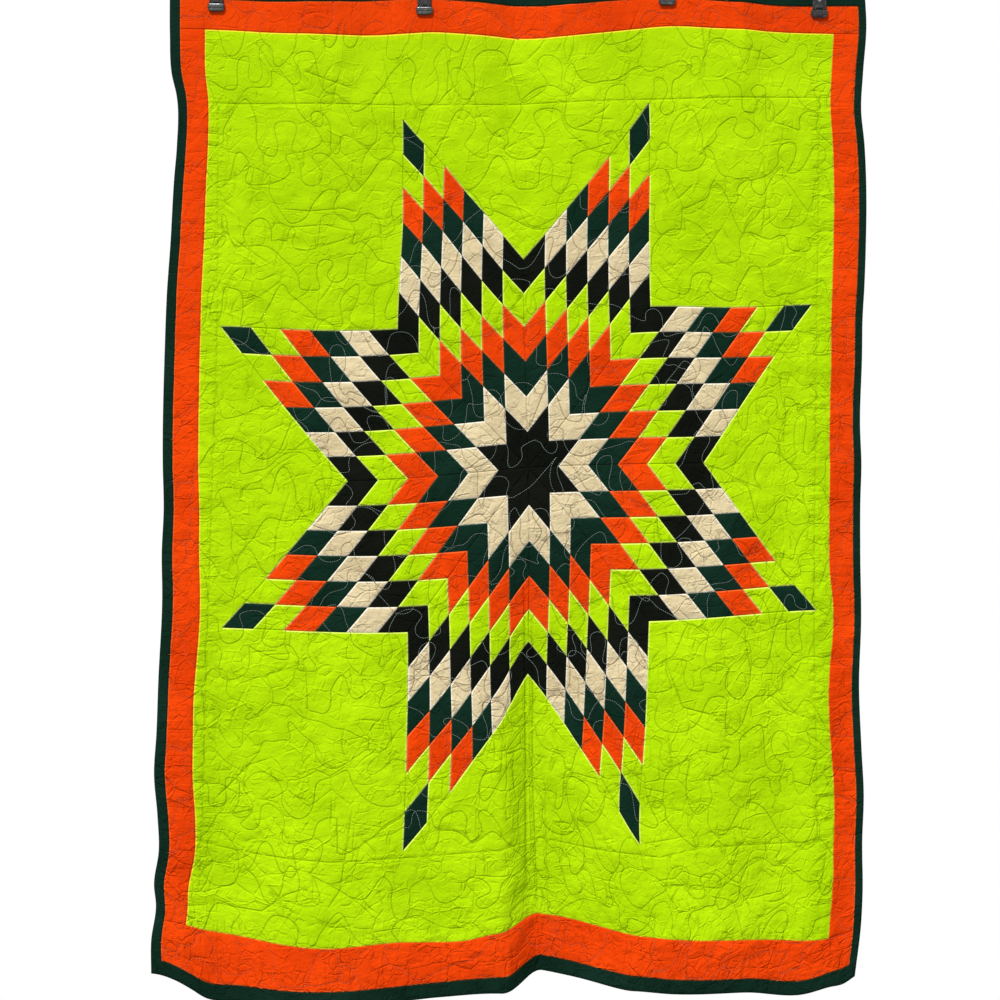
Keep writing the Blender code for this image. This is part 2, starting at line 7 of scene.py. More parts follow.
import logging
import math
from collections.abc import Iterable, Sequence
from dataclasses import dataclass, field
from enum import Enum
from typing import Any, NamedTuple

import bpy
import numpy as np
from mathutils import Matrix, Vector
from mathutils.geometry import delaunay_2d_cdt


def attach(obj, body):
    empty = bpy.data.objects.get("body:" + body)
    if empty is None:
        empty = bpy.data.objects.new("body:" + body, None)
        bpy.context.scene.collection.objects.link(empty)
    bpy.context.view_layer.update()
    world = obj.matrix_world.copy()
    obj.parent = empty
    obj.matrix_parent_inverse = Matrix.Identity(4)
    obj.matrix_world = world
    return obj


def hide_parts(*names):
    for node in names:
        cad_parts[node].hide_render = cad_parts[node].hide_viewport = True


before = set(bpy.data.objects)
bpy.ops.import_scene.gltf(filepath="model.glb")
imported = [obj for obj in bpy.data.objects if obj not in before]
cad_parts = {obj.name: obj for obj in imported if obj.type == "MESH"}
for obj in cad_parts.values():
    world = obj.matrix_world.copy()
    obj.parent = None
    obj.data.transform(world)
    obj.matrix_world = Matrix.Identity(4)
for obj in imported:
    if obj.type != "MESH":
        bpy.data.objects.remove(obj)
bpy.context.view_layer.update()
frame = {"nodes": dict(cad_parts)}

log = logging.getLogger("star quilt")

Array = np.ndarray
Colour = tuple[float, float, float]

MM = 0.001
ROOT_HALF = math.sqrt(0.5)
TURN = 2 * math.pi
ROOT_BODY = "root"
NO_SEAM = 30 * MM


class Band(NamedTuple):
    """Widths of a band sewn round a rectangle, in metres."""

    left: float
    right: float
    top: float
    bottom: float


class Edges(NamedTuple):
    """A flat rectangle's sides, in metres from the middle of the star."""

    left: float
    right: float
    bottom: float
    top: float

    def widened(self, band: Band) -> "Edges":
        """The rectangle outside a band sewn round this one."""
        return Edges(
            self.left - band.left,
            self.right + band.right,
            self.bottom - band.bottom,
            self.top + band.top,
        )

    def corners(self) -> Array:
        """The corners, clockwise from the upper left, shape (4, 2)."""
        left, right, bottom, top = self
        return np.array([(left, top), (right, top), (right, bottom), (left, bottom)])


class Dye(Enum):
    """The colours of cloth in the quilt."""

    BLACK = "black"
    CREAM = "cream"
    GREEN = "green"
    ORANGE = "orange"
    LIME = "lime"


# The star's rings of diamonds, from the middle out to the tip.
RINGS = (
    Dye.BLACK, Dye.CREAM, Dye.GREEN, Dye.ORANGE, Dye.LIME, Dye.BLACK,
    Dye.CREAM, Dye.GREEN, Dye.ORANGE, Dye.LIME, Dye.GREEN,
)


@dataclass(frozen=True)
class Layout:
    """The quilt laid out flat: the star, its lime field and the bands round it.

    The star has eight points of six by six diamonds, a little taller than they are wide.
    """

    diamonds: int = 6
    diamond_across: float = 60.4 * MM
    diamond_up: float = 75.1 * MM
    frame: Band = Band(44 * MM, 44 * MM, 148 * MM, 190 * MM)
    border: Band = Band(52 * MM, 52 * MM, 62 * MM, 88 * MM)
    binding: Band = Band(21 * MM, 16 * MM, 21 * MM, 33 * MM)
    thickness: float = 3.5 * MM

    @property
    def side(self) -> float:
        """Half the long side of a side triangle, in diamonds."""
        return self.diamonds * ROOT_HALF

    @property
    def reach(self) -> float:
        """From the middle of the star to the field's edge, in diamonds."""
        return self.diamonds + self.side

    @property
    def unit(self) -> Array:
        """One diamond's step across and up, in metres."""
        return np.array([self.diamond_across, self.diamond_up])

    @property
    def field(self) -> Edges:
        """The rectangle that the star's points just reach."""
        across, up = self.reach * self.unit
        return Edges(-across, across, -up, up)

    @property
    def framed(self) -> Edges:
        """The lime cloth's outer seam."""
        return self.field.widened(self.frame)

    @property
    def bordered(self) -> Edges:
        """The orange border's outer seam."""
        return self.framed.widened(self.border)

    @property
    def rim(self) -> Edges:
        """The quilt's own edge."""
        return self.bordered.widened(self.binding)

    def cloth_at(self, flat: Array) -> list[Dye | None]:
        """The dye of the front at flat places, or None on the binding and beyond."""
        found = []
        for across, up in flat:
            found.append(self._dye_at(across, up))
        return found

    def _dye_at(self, across: float, up: float) -> Dye | None:
        """The dye of the front at one flat place."""
        for edges, dye in ((self.bordered, None), (self.framed, Dye.ORANGE), (self.field, Dye.LIME)):
            if not (edges.left < across < edges.right and edges.bottom < up < edges.top):
                return dye
        across, up = across / self.diamond_across, up / self.diamond_up
        turn = TURN / 8
        start = math.floor(math.atan2(up, across) / turn) * turn
        ahead = across * math.cos(start) + up * math.sin(start)
        aside = up * math.cos(start) - across * math.sin(start)
        j = aside / math.sin(turn)
        i = ahead - j * math.cos(turn)
        if max(i, j) >= self.diamonds:
            return Dye.LIME
        return RINGS[int(i) + int(j)]

    def corner(self, eighths: float) -> Array:
        """The end of a star point's side, at a number of eighths of a turn from +X."""
        angle = eighths * TURN / 8
        return self.diamonds * self.unit * (math.cos(angle), math.sin(angle))


class Pin(NamedTuple):
    """Where a place on the star hangs: across and up in diamonds, x and drop in millimetres."""

    across: float
    up: float
    x: float
    drop: float


class CornerPin(NamedTuple):
    """Where a diamond's corner hangs: near and far are diamonds along the point's two sides."""

    point: int
    near: int
    far: int
    x: float
    drop: float


class RimPin(NamedTuple):
    """Where a rectangle's side hangs: side and level are shares from -1 to 1; millimetres."""

    side: float
    level: float
    x: float
    drop: float


class RimPoint(NamedTuple):
    """A point of the hanging rim: how far along it and how far out, in millimetres."""

    along: float
    out: float


class Fold(NamedTuple):
    """A soft fold from (x1, drop1) to (x2, drop2), in millimetres; depth is away from the front."""

    name: str
    x1: float
    drop1: float
    depth1: float
    x2: float
    drop2: float
    depth2: float
    left: float
    right: float


class Hold(NamedTuple):
    """A pinch clip's place: x and the drop of its lower end in millimetres, tilt in degrees."""

    x: float
    drop: float
    tilt: float


SIDE = Layout().side
REACH = Layout().reach
STAR_PINS = (
    Pin(0, 0, 28, 995),
    Pin(0, 6, 18, 558),
    Pin(6, 0, 395, 985),
    Pin(0, -6, 27, 1446),
    Pin(-6, 0, -351, 1023),
    Pin(SIDE, SIDE, 284, 657),
    Pin(-SIDE, SIDE, -246, 704),
    Pin(-SIDE, -SIDE, -225, 1340),
    Pin(SIDE, -SIDE, 281, 1317),
    Pin(SIDE, REACH, 281, 229),
    Pin(-SIDE, REACH, -235, 265),
    Pin(REACH, SIDE, 622, 653),
    Pin(REACH, -SIDE, 630, 1294),
    Pin(SIDE, -REACH, 262, 1785),
    Pin(-SIDE, -REACH, -235, 1798),
    Pin(-REACH, -SIDE, -615, 1331),
    Pin(-REACH, SIDE, -615, 699),
    Pin(-REACH, REACH, -611, 231),
    Pin(REACH, REACH, 624, 223),
    Pin(-REACH, -REACH, -630, 1784),
    Pin(REACH, -REACH, 635, 1776),
    Pin(0, -REACH, 44, 1808),
)
CORNER_PINS = (
    CornerPin(0, 3, 6, 453, 659),
    CornerPin(2, 4, 4, -152, 498),
    CornerPin(2, 6, 3, -107, 412),
    CornerPin(2, 6, 4, -148, 362),
    CornerPin(2, 5, 5, -192, 383),
    CornerPin(2, 3, 6, -235, 480),
    CornerPin(3, 3, 6, -483, 868),
    CornerPin(5, 4, 4, -133, 1522),
    CornerPin(5, 6, 3, -227, 1559),
    CornerPin(5, 5, 5, -182, 1656),
    CornerPin(5, 4, 6, -137, 1676),
    CornerPin(5, 3, 6, -89, 1610),
    CornerPin(6, 4, 4, 188, 1507),
    CornerPin(6, 6, 3, 141, 1600),
    CornerPin(6, 6, 4, 178, 1649),
    CornerPin(6, 5, 5, 223, 1635),
    CornerPin(6, 3, 6, 273, 1540),
)
FRAME_PINS = (
    RimPin(-1, 1, -651, 75),
    RimPin(-0.27, 1, -168, 81),
    RimPin(0, 1, 12, 91),
    RimPin(0.48, 1, 325, 67),
    RimPin(1, 1, 668, 82),
    RimPin(-1, 0.35, -656, 699),
    RimPin(-1, 0, -665, 1012),
    RimPin(1, 0, 663, 972),
    RimPin(1, -0.25, 656, 1215),
    RimPin(-1, -0.5, -678, 1492),
    RimPin(1, -0.5, 658, 1466),
    RimPin(-1, -1, -702, 1953),
    RimPin(-0.62, -1, -409, 1999),
    RimPin(-0.4, -1, -254, 1990),
    RimPin(-0.22, -1, -108, 1989),
    RimPin(-0.11, -1, -31, 1974),
    RimPin(0, -1, 52, 1982),
    RimPin(0.27, -1, 220, 1978),
    RimPin(0.5, -1, 345, 1984),
    RimPin(1, -1, 662, 1981),
)
BORDER_PINS = (
    RimPin(-1, -1, -743, 2029),
    RimPin(0.53, -1, 347, 2065),
    RimPin(1, -1, 705, 2030),
)
RIM_PINS = (
    RimPin(-1, 1, -725, -12),
    RimPin(1, 1, 735, 4),
    RimPin(-1, 0, -741, 1015),
    RimPin(1, 0, 730, 975),
    RimPin(-1, -0.5, -755, 1552),
    RimPin(1, -0.5, 726, 1529),
    RimPin(-1, -1, -765, 2058),
    RimPin(0, -1, 58, 2102),
    RimPin(1, -1, 716, 2066),
)
LEFT_RIM = tuple(RimPoint(*row) for row in (
    (-12, -725), (82, -725), (168, -721), (214, -711), (317, -711), (388, -717),
    (527, -725), (622, -732), (748, -737), (987, -741), (1082, -739), (1174, -743),
    (1268, -742), (1441, -750), (1552, -754), (1640, -759), (1725, -752), (1798, -749),
    (1873, -759), (1913, -755), (1990, -765), (2058, -765),
))
RIGHT_RIM = tuple(RimPoint(*row) for row in (
    (4, 735), (63, 738), (166, 731), (242, 727), (317, 734), (420, 738), (521, 737),
    (611, 734), (685, 730), (760, 729), (905, 725), (990, 728), (1063, 726), (1174, 726),
    (1317, 728), (1453, 724), (1581, 729), (1682, 734), (1785, 731), (1886, 732), (1953, 729),
    (2066, 716),
))
TOP_RIM = tuple(RimPoint(*row) for row in (
    (-725, -12), (-627, -11), (-410, -4), (-190, -13), (-94, -8), (8, -3), (116, -2), (214, -9),
    (319, -15), (472, -2), (577, 5), (638, 5), (735, 4),
))
BOTTOM_RIM = tuple(RimPoint(*row) for row in (
    (-765, 2058), (-747, 2061), (-713, 2073), (-679, 2093), (-656, 2109), (-577, 2119),
    (-410, 2123), (-242, 2115), (-158, 2107), (-19, 2100), (94, 2116), (229, 2094),
    (330, 2098), (485, 2096), (598, 2104), (660, 2088), (691, 2082), (716, 2066),
))
FOLDS = (
    Fold("sag between the middle clips", 8, 0, 26, 20, 430, 0, 130, 130),
    Fold("belly between the left clips", -409, 0, -20, -380, 760, 0, 180, 180),
    Fold("belly between the right clips", 478, 0, -15, 450, 640, 0, 140, 140),
    Fold("left hollow", -620, 860, 0, -610, 2100, 20, 120, 130),
    Fold("left ridge", -420, 900, 0, -370, 2100, -22, 200, 210),
    Fold("right ridge", 430, 800, 0, 400, 2100, -18, 210, 210),
    Fold("right rim curling back", 700, 500, 0, 705, 2100, 16, 100, 90),
    Fold("left rim curling back", -735, 100, 10, -750, 1900, 6, 70, 90),
    Fold("hollow beside the star", 560, 300, 0, 560, 1150, 12, 150, 110),
)
HOLDS = (Hold(-627, 38, 0.6), Hold(-190, 45, -0.8), Hold(319, 25, 0.5), Hold(638, 51, 1.2))


def eased(share: Array) -> Array:
    """0 below 0, 1 above 1, and an S between."""
    share = np.clip(share, 0.0, 1.0)
    return share * share * (3.0 - 2.0 * share)


def bump(offset: Array, left: float, right: float) -> Array:
    """1 at no offset, falling smoothly to 0 at a distance to the left and to the right."""
    share = np.where(offset < 0, -offset / left, offset / right)
    return np.where(share < 1, np.cos(np.minimum(share, 1) * math.pi / 2) ** 2, 0.0)


def curve_through(points: Sequence[RimPoint], at: Array) -> Array:
    """A smooth curve through rim points.

    Args:
        points: The rim's points, in order along it.
        at: Distances along the rim, in metres.

    Returns:
        How far out the rim lies there, in metres.
    """
    along = np.array([point.along for point in points]) * MM
    out = np.array([point.out for point in points]) * MM
    slope = np.gradient(out, along)
    at = np.clip(at, along[0], along[-1])
    i = np.clip(np.searchsorted(along, at) - 1, 0, len(along) - 2)
    width = along[i + 1] - along[i]
    t = (at - along[i]) / width
    return (
        (1 + 2 * t) * (1 - t) ** 2 * out[i]
        + t * (1 - t) ** 2 * width * slope[i]
        + t * t * (3 - 2 * t) * out[i + 1]
        - t * t * (1 - t) * width * slope[i + 1]
    )


@dataclass
class Drape:
    """Carries flat places of the quilt to where they hang."""

    layout: Layout
    outline_reach: float = 170 * MM
    pleat_left: float = 78 * MM
    pleat_right: float = 240 * MM
    pleat_start_up: float = -120 * MM
    pleat_depth: float = 55 * MM
    pleat_lift: float = 52 * MM
    clip_flat_across: float = 78 * MM
    clip_flat_down: float = 150 * MM
    clip_fade: float = 120 * MM
    step: float = 0.5 * MM
    chunk: int = 40000
    rim_samples: int = 600

    def __post_init__(self) -> None:
        """Bends the thin plate through the pins, then measures how far the rim is off it."""
        self.places, hung = self._pins()
        count = len(self.places)
        system = np.zeros((count + 3, count + 3))
        system[:count, :count] = self._kernel(self.places)
        system[:count, count] = 1
        system[:count, count + 1 :] = self.places
        system[count:, :count] = system[:count, count:].T
        target = np.zeros((count + 3, 2))
        target[:count] = hung
        self.weights = np.linalg.solve(system, target)
        rim = self.layout.rim
        self.across = np.linspace(rim.left, rim.right, self.rim_samples)
        self.up = np.linspace(rim.bottom, rim.top, self.rim_samples)
        self.side_shift = []
        for side, points in ((rim.left, LEFT_RIM), (rim.right, RIGHT_RIM)):
            edge = self._bent(np.column_stack([np.full_like(self.up, side), self.up]))
            self.side_shift.append((side, curve_through(points, -edge[:, 1]) - edge[:, 0]))
        self.level_shift = []
        for level, points in ((rim.top, TOP_RIM), (rim.bottom, BOTTOM_RIM)):
            edge = self._bent(np.column_stack([self.across, np.full_like(self.across, level)]))
            self.level_shift.append((level, -curve_through(points, edge[:, 0]) - edge[:, 1]))

    def _pins(self) -> tuple[Array, Array]:
        """Flat places and where they hang, from the tables of pins."""
        flat = [(pin.across, pin.up) * self.layout.unit for pin in STAR_PINS]
        hung = [(pin.x * MM, -pin.drop * MM) for pin in STAR_PINS]
        layout = self.layout
        for pin in CORNER_PINS:
            near, far = layout.corner(pin.point), layout.corner(pin.point + 1)
            flat.append((pin.near * near + pin.far * far) / layout.diamonds)
            hung.append((pin.x * MM, -pin.drop * MM))
        tables = (
            (FRAME_PINS, layout.framed), (BORDER_PINS, layout.bordered), (RIM_PINS, layout.rim)
        )
        for pins, edges in tables:
            for pin in pins:
                across = pin.side * (edges.right if pin.side > 0 else -edges.left)
                up = pin.level * (edges.top if pin.level > 0 else -edges.bottom)
                flat.append((across, up))
                hung.append((pin.x * MM, -pin.drop * MM))
        return np.array(flat), np.array(hung)

    def _kernel(self, flat: Array) -> Array:
        """The bending of a thin plate around each pin, for flat places of shape (n, 2)."""
        square = ((flat[:, None] - self.places[None]) ** 2).sum(axis=2)
        square = np.maximum(square, 1e-12)
        return 0.5 * square * np.log(square)

    def _bent(self, flat: Array) -> Array:
        """x and z of flat places on the thin plate, shape (n, 2)."""
        count = len(self.places)
        weights = self.weights
        return self._kernel(flat) @ weights[:count] + weights[count] + flat @ weights[count + 1 :]

    def place(self, flat: Array) -> Array:
        """x and z of flat places in the hanging cloth, before the pleat lifts them."""
        place = self._bent(flat)
        for side, shift in self.side_shift:
            fade = eased(1 - np.abs(flat[:, 0] - side) / self.outline_reach)
            place[:, 0] += np.interp(flat[:, 1], self.up, shift) * fade
        for level, shift in self.level_shift:
            fade = eased(1 - np.abs(flat[:, 1] - level) / self.outline_reach)
            place[:, 1] += np.interp(flat[:, 0], self.across, shift) * fade
        return place

    def near_a_clip(self, place: Array) -> Array:
        """1 where a clip holds the cloth flat, fading to 0 away from it."""
        held = np.zeros(len(place))
        for hold in HOLDS:
            across = (np.abs(place[:, 0] - hold.x * MM) - self.clip_flat_across) / self.clip_fade
            down = (-place[:, 1] - self.clip_flat_down) / self.clip_fade
            held = np.maximum(held, (1 - eased(across)) * (1 - eased(down)))
        return held

    def fold_depth(self, place: Array) -> Array:
        """How far the soft folds carry the cloth back from the front plane."""
        depth = np.zeros(len(place))
        for fold in FOLDS:
            share = (-place[:, 1] - fold.drop1 * MM) / ((fold.drop2 - fold.drop1) * MM)
            share = np.clip(share, 0.0, 1.0)
            line = (fold.x1 + (fold.x2 - fold.x1) * share) * MM
            deep = (fold.depth1 + (fold.depth2 - fold.depth1) * eased(share)) * MM
            depth += deep * bump(place[:, 0] - line, fold.left * MM, fold.right * MM)
        return depth

    def _hang_part(self, flat: Array) -> Array:
        """Where a few thousand flat places hang, shape (n, 3)."""
        place = self.place(flat)
        rim = self.layout.rim
        fall = (self.pleat_start_up - flat[:, 1]) / (self.pleat_start_up - rim.bottom)
        pleat = bump(flat[:, 0], self.pleat_left, self.pleat_right) * np.clip(fall, 0, 1)
        depth = self.fold_depth(place) * (1 - self.near_a_clip(place)) + self.pleat_depth * pleat
        return np.column_stack([place[:, 0], depth, place[:, 1] + self.pleat_lift * pleat])

    def hang(self, flat: Array) -> Array:
        """Where flat places hang, shape (n, 3)."""
        parts = np.array_split(flat, len(flat) // self.chunk + 1)
        return np.vstack([self._hang_part(part) for part in parts])

    def surface(self, flat: Array) -> tuple[Array, Array]:
        """Where flat places hang, and the cloth's unit normals there, towards the front."""
        middle = self.hang(flat)
        across = self.hang(flat + (self.step, 0)) - middle
        up = self.hang(flat + (0, self.step)) - middle
        normal = np.cross(across, up)
        return middle, normal / np.linalg.norm(normal, axis=1, keepdims=True)

    def flat_of(self, x: Array, drop: Array, rounds: int = 12) -> Array:
        """The flat places that hang at given places.

        Args:
            x: World x of each place, in metres.
            drop: How far each place is below the hanging line, in metres.
            rounds: How often the guess is mended.

        Returns:
            Flat places, shape (n, 2).
        """
        target = np.column_stack([x, -np.asarray(drop)])
        flat = target - self.hang(np.zeros((1, 2)))[:, [0, 2]]
        for _ in range(rounds):
            flat = flat + target - self.hang(flat)[:, [0, 2]]
        return flat


class Line(NamedTuple):
    """A line on the flat quilt: its places, and how strongly it is pressed in at each."""

    places: Array
    strength: Array


class Trace(NamedTuple):
    """What a raster knows of a set of lines: signed distance in metres, and strength."""

    distance: Array
    strength: Array


@dataclass
class Raster:
    """A fine grid over the flat quilt, on which low relief is worked out."""

    edges: Edges
    pitch: float = 2 * MM
    margin: float = 24 * MM

    def __post_init__(self) -> None:
        """Lays out the grid's rows and columns."""
        span = (self.edges.right - self.edges.left, self.edges.top - self.edges.bottom)
        self.start = np.array([self.edges.left, self.edges.bottom]) - self.margin
        self.columns, self.rows = (round((s + 2 * self.margin) / self.pitch) for s in span)
        self.across = self.start[0] + np.arange(self.columns) * self.pitch
        self.up = self.start[1] + np.arange(self.rows) * self.pitch

    def places(self) -> Array:
        """Every grid place, row by row, shape (rows * columns, 2)."""
        across, up = np.meshgrid(self.across, self.up)
        return np.column_stack([across.ravel(), up.ravel()])

    def read(self, grid: Array, flat: Array) -> Array:
        """A grid's values at flat places, blended between the four nearest grid places."""
        at = (flat - self.start) / self.pitch
        column = np.clip(at[:, 0], 0, self.columns - 1.001)
        row = np.clip(at[:, 1], 0, self.rows - 1.001)
        i, j = column.astype(int), row.astype(int)
        u, v = column - i, row - j
        low = grid[j, i] * (1 - u) + grid[j, i + 1] * u
        high = grid[j + 1, i] * (1 - u) + grid[j + 1, i + 1] * u
        return low * (1 - v) + high * v

    def _waves(self) -> Array:
        """How many waves in a metre each frequency of the grid has."""
        up = np.fft.fftfreq(self.rows, self.pitch)[:, None]
        across = np.fft.rfftfreq(self.columns, self.pitch)[None]
        return np.hypot(up, across)

    def blurred(self, grid: Array, spread: float) -> Array:
        """A grid smoothed by a round spread, in metres."""
        fade = np.exp(-2 * (math.pi * spread * self._waves()) ** 2)
        return np.fft.irfft2(np.fft.rfft2(grid) * fade, s=grid.shape)

    def noise(self, random: np.random.Generator, short: float, long: float) -> Array:
        """Smooth random waves between two lengths in metres, about 1 in size."""
        waves = self._waves()
        grid = random.standard_normal((self.rows, self.columns))
        keep = np.exp(-((waves * short) ** 2)) * (1 - np.exp(-((waves * long) ** 2)))
        grid = np.fft.irfft2(np.fft.rfft2(grid) * keep, s=grid.shape)
        return grid / grid.std()

    def facets(self, random: np.random.Generator, spacing: float) -> Array:
        """Crumpled cloth: flat facets between random points, each point pushed in or out.

        Args:
            random: The source of random numbers.
            spacing: The usual distance between points, in metres.

        Returns:
            Heights about 1 in size, shape (rows, columns).
        """
        wide = self.margin + spacing
        across = np.arange(self.edges.left - wide, self.edges.right + wide, spacing)
        up = np.arange(self.edges.bottom - wide, self.edges.top + wide, spacing)
        points = np.stack(np.meshgrid(across, up), axis=-1).reshape(-1, 2)
        points = points + random.uniform(-0.45, 0.45, points.shape) * spacing
        heights = random.standard_normal(len(points))
        corners = [Vector(point) for point in points]
        triangles = delaunay_2d_cdt(corners, [], [], 0, 1e-7, True)
        places, faces, origins = triangles[0], triangles[2], triangles[3]
        heights = np.array([heights[found[0]] if found else 0.0 for found in origins])
        places = np.array([tuple(place) for place in places])
        grid = np.zeros((self.rows, self.columns))
        for face in faces:
            self._fill_facet(grid, places[face], heights[face])
        return grid

    def _fill_facet(self, grid: Array, corners: Array, heights: Array) -> None:
        """Writes one triangle's heights into the grid places inside it."""
        low = np.floor((corners.min(axis=0) - self.start) / self.pitch).astype(int)
        high = np.ceil((corners.max(axis=0) - self.start) / self.pitch).astype(int) + 1
        low = np.maximum(low, 0)
        high = np.minimum(high, (self.columns, self.rows))
        if (high <= low).any():
            return
        across = self.across[low[0] : high[0]][None]
        up = self.up[low[1] : high[1]][:, None]
        a, b, c = corners
        whole = (b[0] - a[0]) * (c[1] - a[1]) - (c[0] - a[0]) * (b[1] - a[1])
        if abs(whole) < 1e-12:
            return
        share_b = ((across - a[0]) * (c[1] - a[1]) - (c[0] - a[0]) * (up - a[1])) / whole
        share_c = ((b[0] - a[0]) * (up - a[1]) - (across - a[0]) * (b[1] - a[1])) / whole
        share_a = 1 - share_b - share_c
        inside = (share_a >= 0) & (share_b >= 0) & (share_c >= 0)
        value = share_a * heights[0] + share_b * heights[1] + share_c * heights[2]
        part = grid[low[1] : high[1], low[0] : high[0]]
        part[inside] = value[inside]

    def trace(self, lines: Iterable[Line], reach: float) -> Trace:
        """Signed distance to the nearest of some lines, and the strength of that line there.

        Args:
            lines: The lines.
            reach: How far from a line the distance is worked out, in metres.

        Returns:
            Two grids. Past the reach the distance is the reach and the strength is 0.
        """
        samples, ways, strengths = [], [], []
        for line in lines:
            step = line.places[1:] - line.places[:-1]
            length = np.linalg.norm(step, axis=1)
            count = np.maximum(1, np.ceil(length / (0.6 * self.pitch)).astype(int))
            which = np.repeat(np.arange(len(step)), count)
            share = (np.arange(len(which)) - np.repeat(np.cumsum(count) - count, count)) / count[which]
            samples.append(line.places[which] + step[which] * share[:, None])
            ways.append(step[which] / np.maximum(length[which], 1e-9)[:, None])
            gain = line.strength[1:] - line.strength[:-1]
            strengths.append(line.strength[which] + gain[which] * share)
        sample, way, strength = np.vstack(samples), np.vstack(ways), np.hstack(strengths)
        span = int(reach / self.pitch)
        around = np.stack(np.meshgrid(*[np.arange(-span, span + 1)] * 2), axis=-1).reshape(-1, 2)
        home = np.rint((sample - self.start) / self.pitch).astype(int)
        cell = (home[:, None] + around[None]).reshape(-1, 2)
        source = np.repeat(np.arange(len(sample)), len(around))
        inside = ((cell >= 0) & (cell < (self.columns, self.rows))).all(axis=1)
        cell, source = cell[inside], source[inside]
        away = self.start + cell * self.pitch - sample[source]
        across = way[source, 0] * away[:, 1] - way[source, 1] * away[:, 0]
        along = np.abs((way[source] * away).sum(axis=1))
        far = np.linalg.norm(away, axis=1)
        size = np.where(along <= self.pitch, np.abs(across), far)
        order = np.argsort(-far, kind="stable")
        distance = np.full((self.rows, self.columns), reach)
        pressed = np.zeros((self.rows, self.columns))
        row, column = cell[order, 1], cell[order, 0]
        signed = np.where(across < 0, -size, size)
        distance[row, column] = np.clip(signed, -reach, reach)[order]
        pressed[row, column] = strength[source][order]
        return Trace(distance, pressed)


class Crease(NamedTuple):
    """A crease through (x, drop) in millimetres: a trough, or a ridge if its depth is below 0."""

    name: str
    depth: float
    route: tuple[tuple[float, float], ...]


CREASES = (
    Crease("left side of the pleat", 1.4, (
        (18, 1180), (20, 1340), (21, 1560), (21, 1760), (22, 2010))),
    Crease("ridge along it", -0.9, ((26, 1230), (29, 1440), (28, 1660), (31, 1900))),
    Crease("right side of the pleat", 1.1, (
        (35, 1300), (38, 1450), (37, 1640), (44, 1820), (52, 2050))),
    Crease("third line of the pleat", 0.7, ((62, 1620), (66, 1760), (70, 1900), (72, 1990))),
    Crease("valley under the top middle", 1.0, ((69, 88), (52, 112), (21, 142))),
    Crease("second valley there", 0.7, ((8, 76), (-8, 110), (-20, 150), (-18, 190))),
    Crease("long valley lower right", 1.2, (
        (307, 1377), (352, 1498), (388, 1507), (420, 1515), (452, 1516))),
    Crease("drop above it", 1.0, ((481, 1326), (486, 1372), (497, 1426))),
    Crease("ridge below it", -0.8, ((434, 1522), (462, 1545), (490, 1562))),
    Crease("valley by the right seam", 1.0, ((533, 1478), (566, 1503), (600, 1516), (664, 1536))),
    Crease("lower left valley", 1.0, ((-640, 1700), (-600, 1662), (-560, 1620), (-500, 1600))),
    Crease("lower left ridge", -1.0, ((-560, 1690), (-540, 1740), (-520, 1776))),
    Crease("lower left corner fold", 1.0, (
        (-640, 1900), (-590, 1920), (-530, 1926), (-480, 1890), (-420, 1870))),
    Crease("long drop lower left", 0.9, ((-340, 1700), (-352, 1790), (-366, 1880), (-400, 1930))),
    Crease("upper left pull", 0.9, ((-500, 452), (-430, 458), (-360, 452), (-330, 460))),
    Crease("upper left pull below", 0.8, ((-520, 470), (-470, 492), (-400, 486), (-340, 500))),
    Crease("upper left slant", 1.1, ((-500, 135), (-455, 160), (-390, 185), (-330, 205))),
    Crease("upper left drop", 0.9, ((-548, 98), (-530, 125), (-505, 165))),
    Crease("drop under the second clip", 0.9, ((-130, 100), (-138, 150), (-142, 205), (-120, 260))),
    Crease("left upright fold", 0.7, ((-470, 1040), (-500, 1130), (-505, 1210))),
    Crease("right upright fold", 0.8, ((520, 330), (528, 420), (516, 520))),
    Crease("right slant", 0.8, ((590, 860), (555, 930), (560, 1010))),
    Crease("left binding, first", 1.2, ((-768, 1655), (-748, 1660), (-728, 1668))),
    Crease("left binding, second", 1.0, ((-768, 1694), (-750, 1692), (-730, 1690))),
    Crease("left binding, third", 1.2, ((-768, 1792), (-750, 1797), (-730, 1794))),
    Crease("left binding, fourth", 1.2, ((-770, 1905), (-750, 1908), (-728, 1916))),
)
SEAMS = (
    Crease("top seam of the field", 0.9, (
        (-645, 231), (-451, 233), (-241, 235), (-31, 233), (178, 225), (388, 220), (668, 218))),
    Crease("bottom seam of the field", 0.9, (
        (-668, 1780), (-577, 1802), (-472, 1814), (-388, 1821), (-200, 1812), (-31, 1798),
        (52, 1777), (178, 1798), (304, 1812), (388, 1790), (660, 1781))),
    Crease("left seam of the field", 0.9, (
        (-622, 231), (-624, 706), (-640, 1168), (-651, 1483), (-659, 1780), (-664, 1873))),
    Crease("right seam of the field", 0.8, (
        (640, 218), (634, 706), (628, 1273), (636, 1781))),
    Crease("seam in the top border", 0.9, ((-652, 4), (-651, 76))),
    Crease("seam in the bottom border", 0.7, ((662, 1980), (664, 2050))),
)


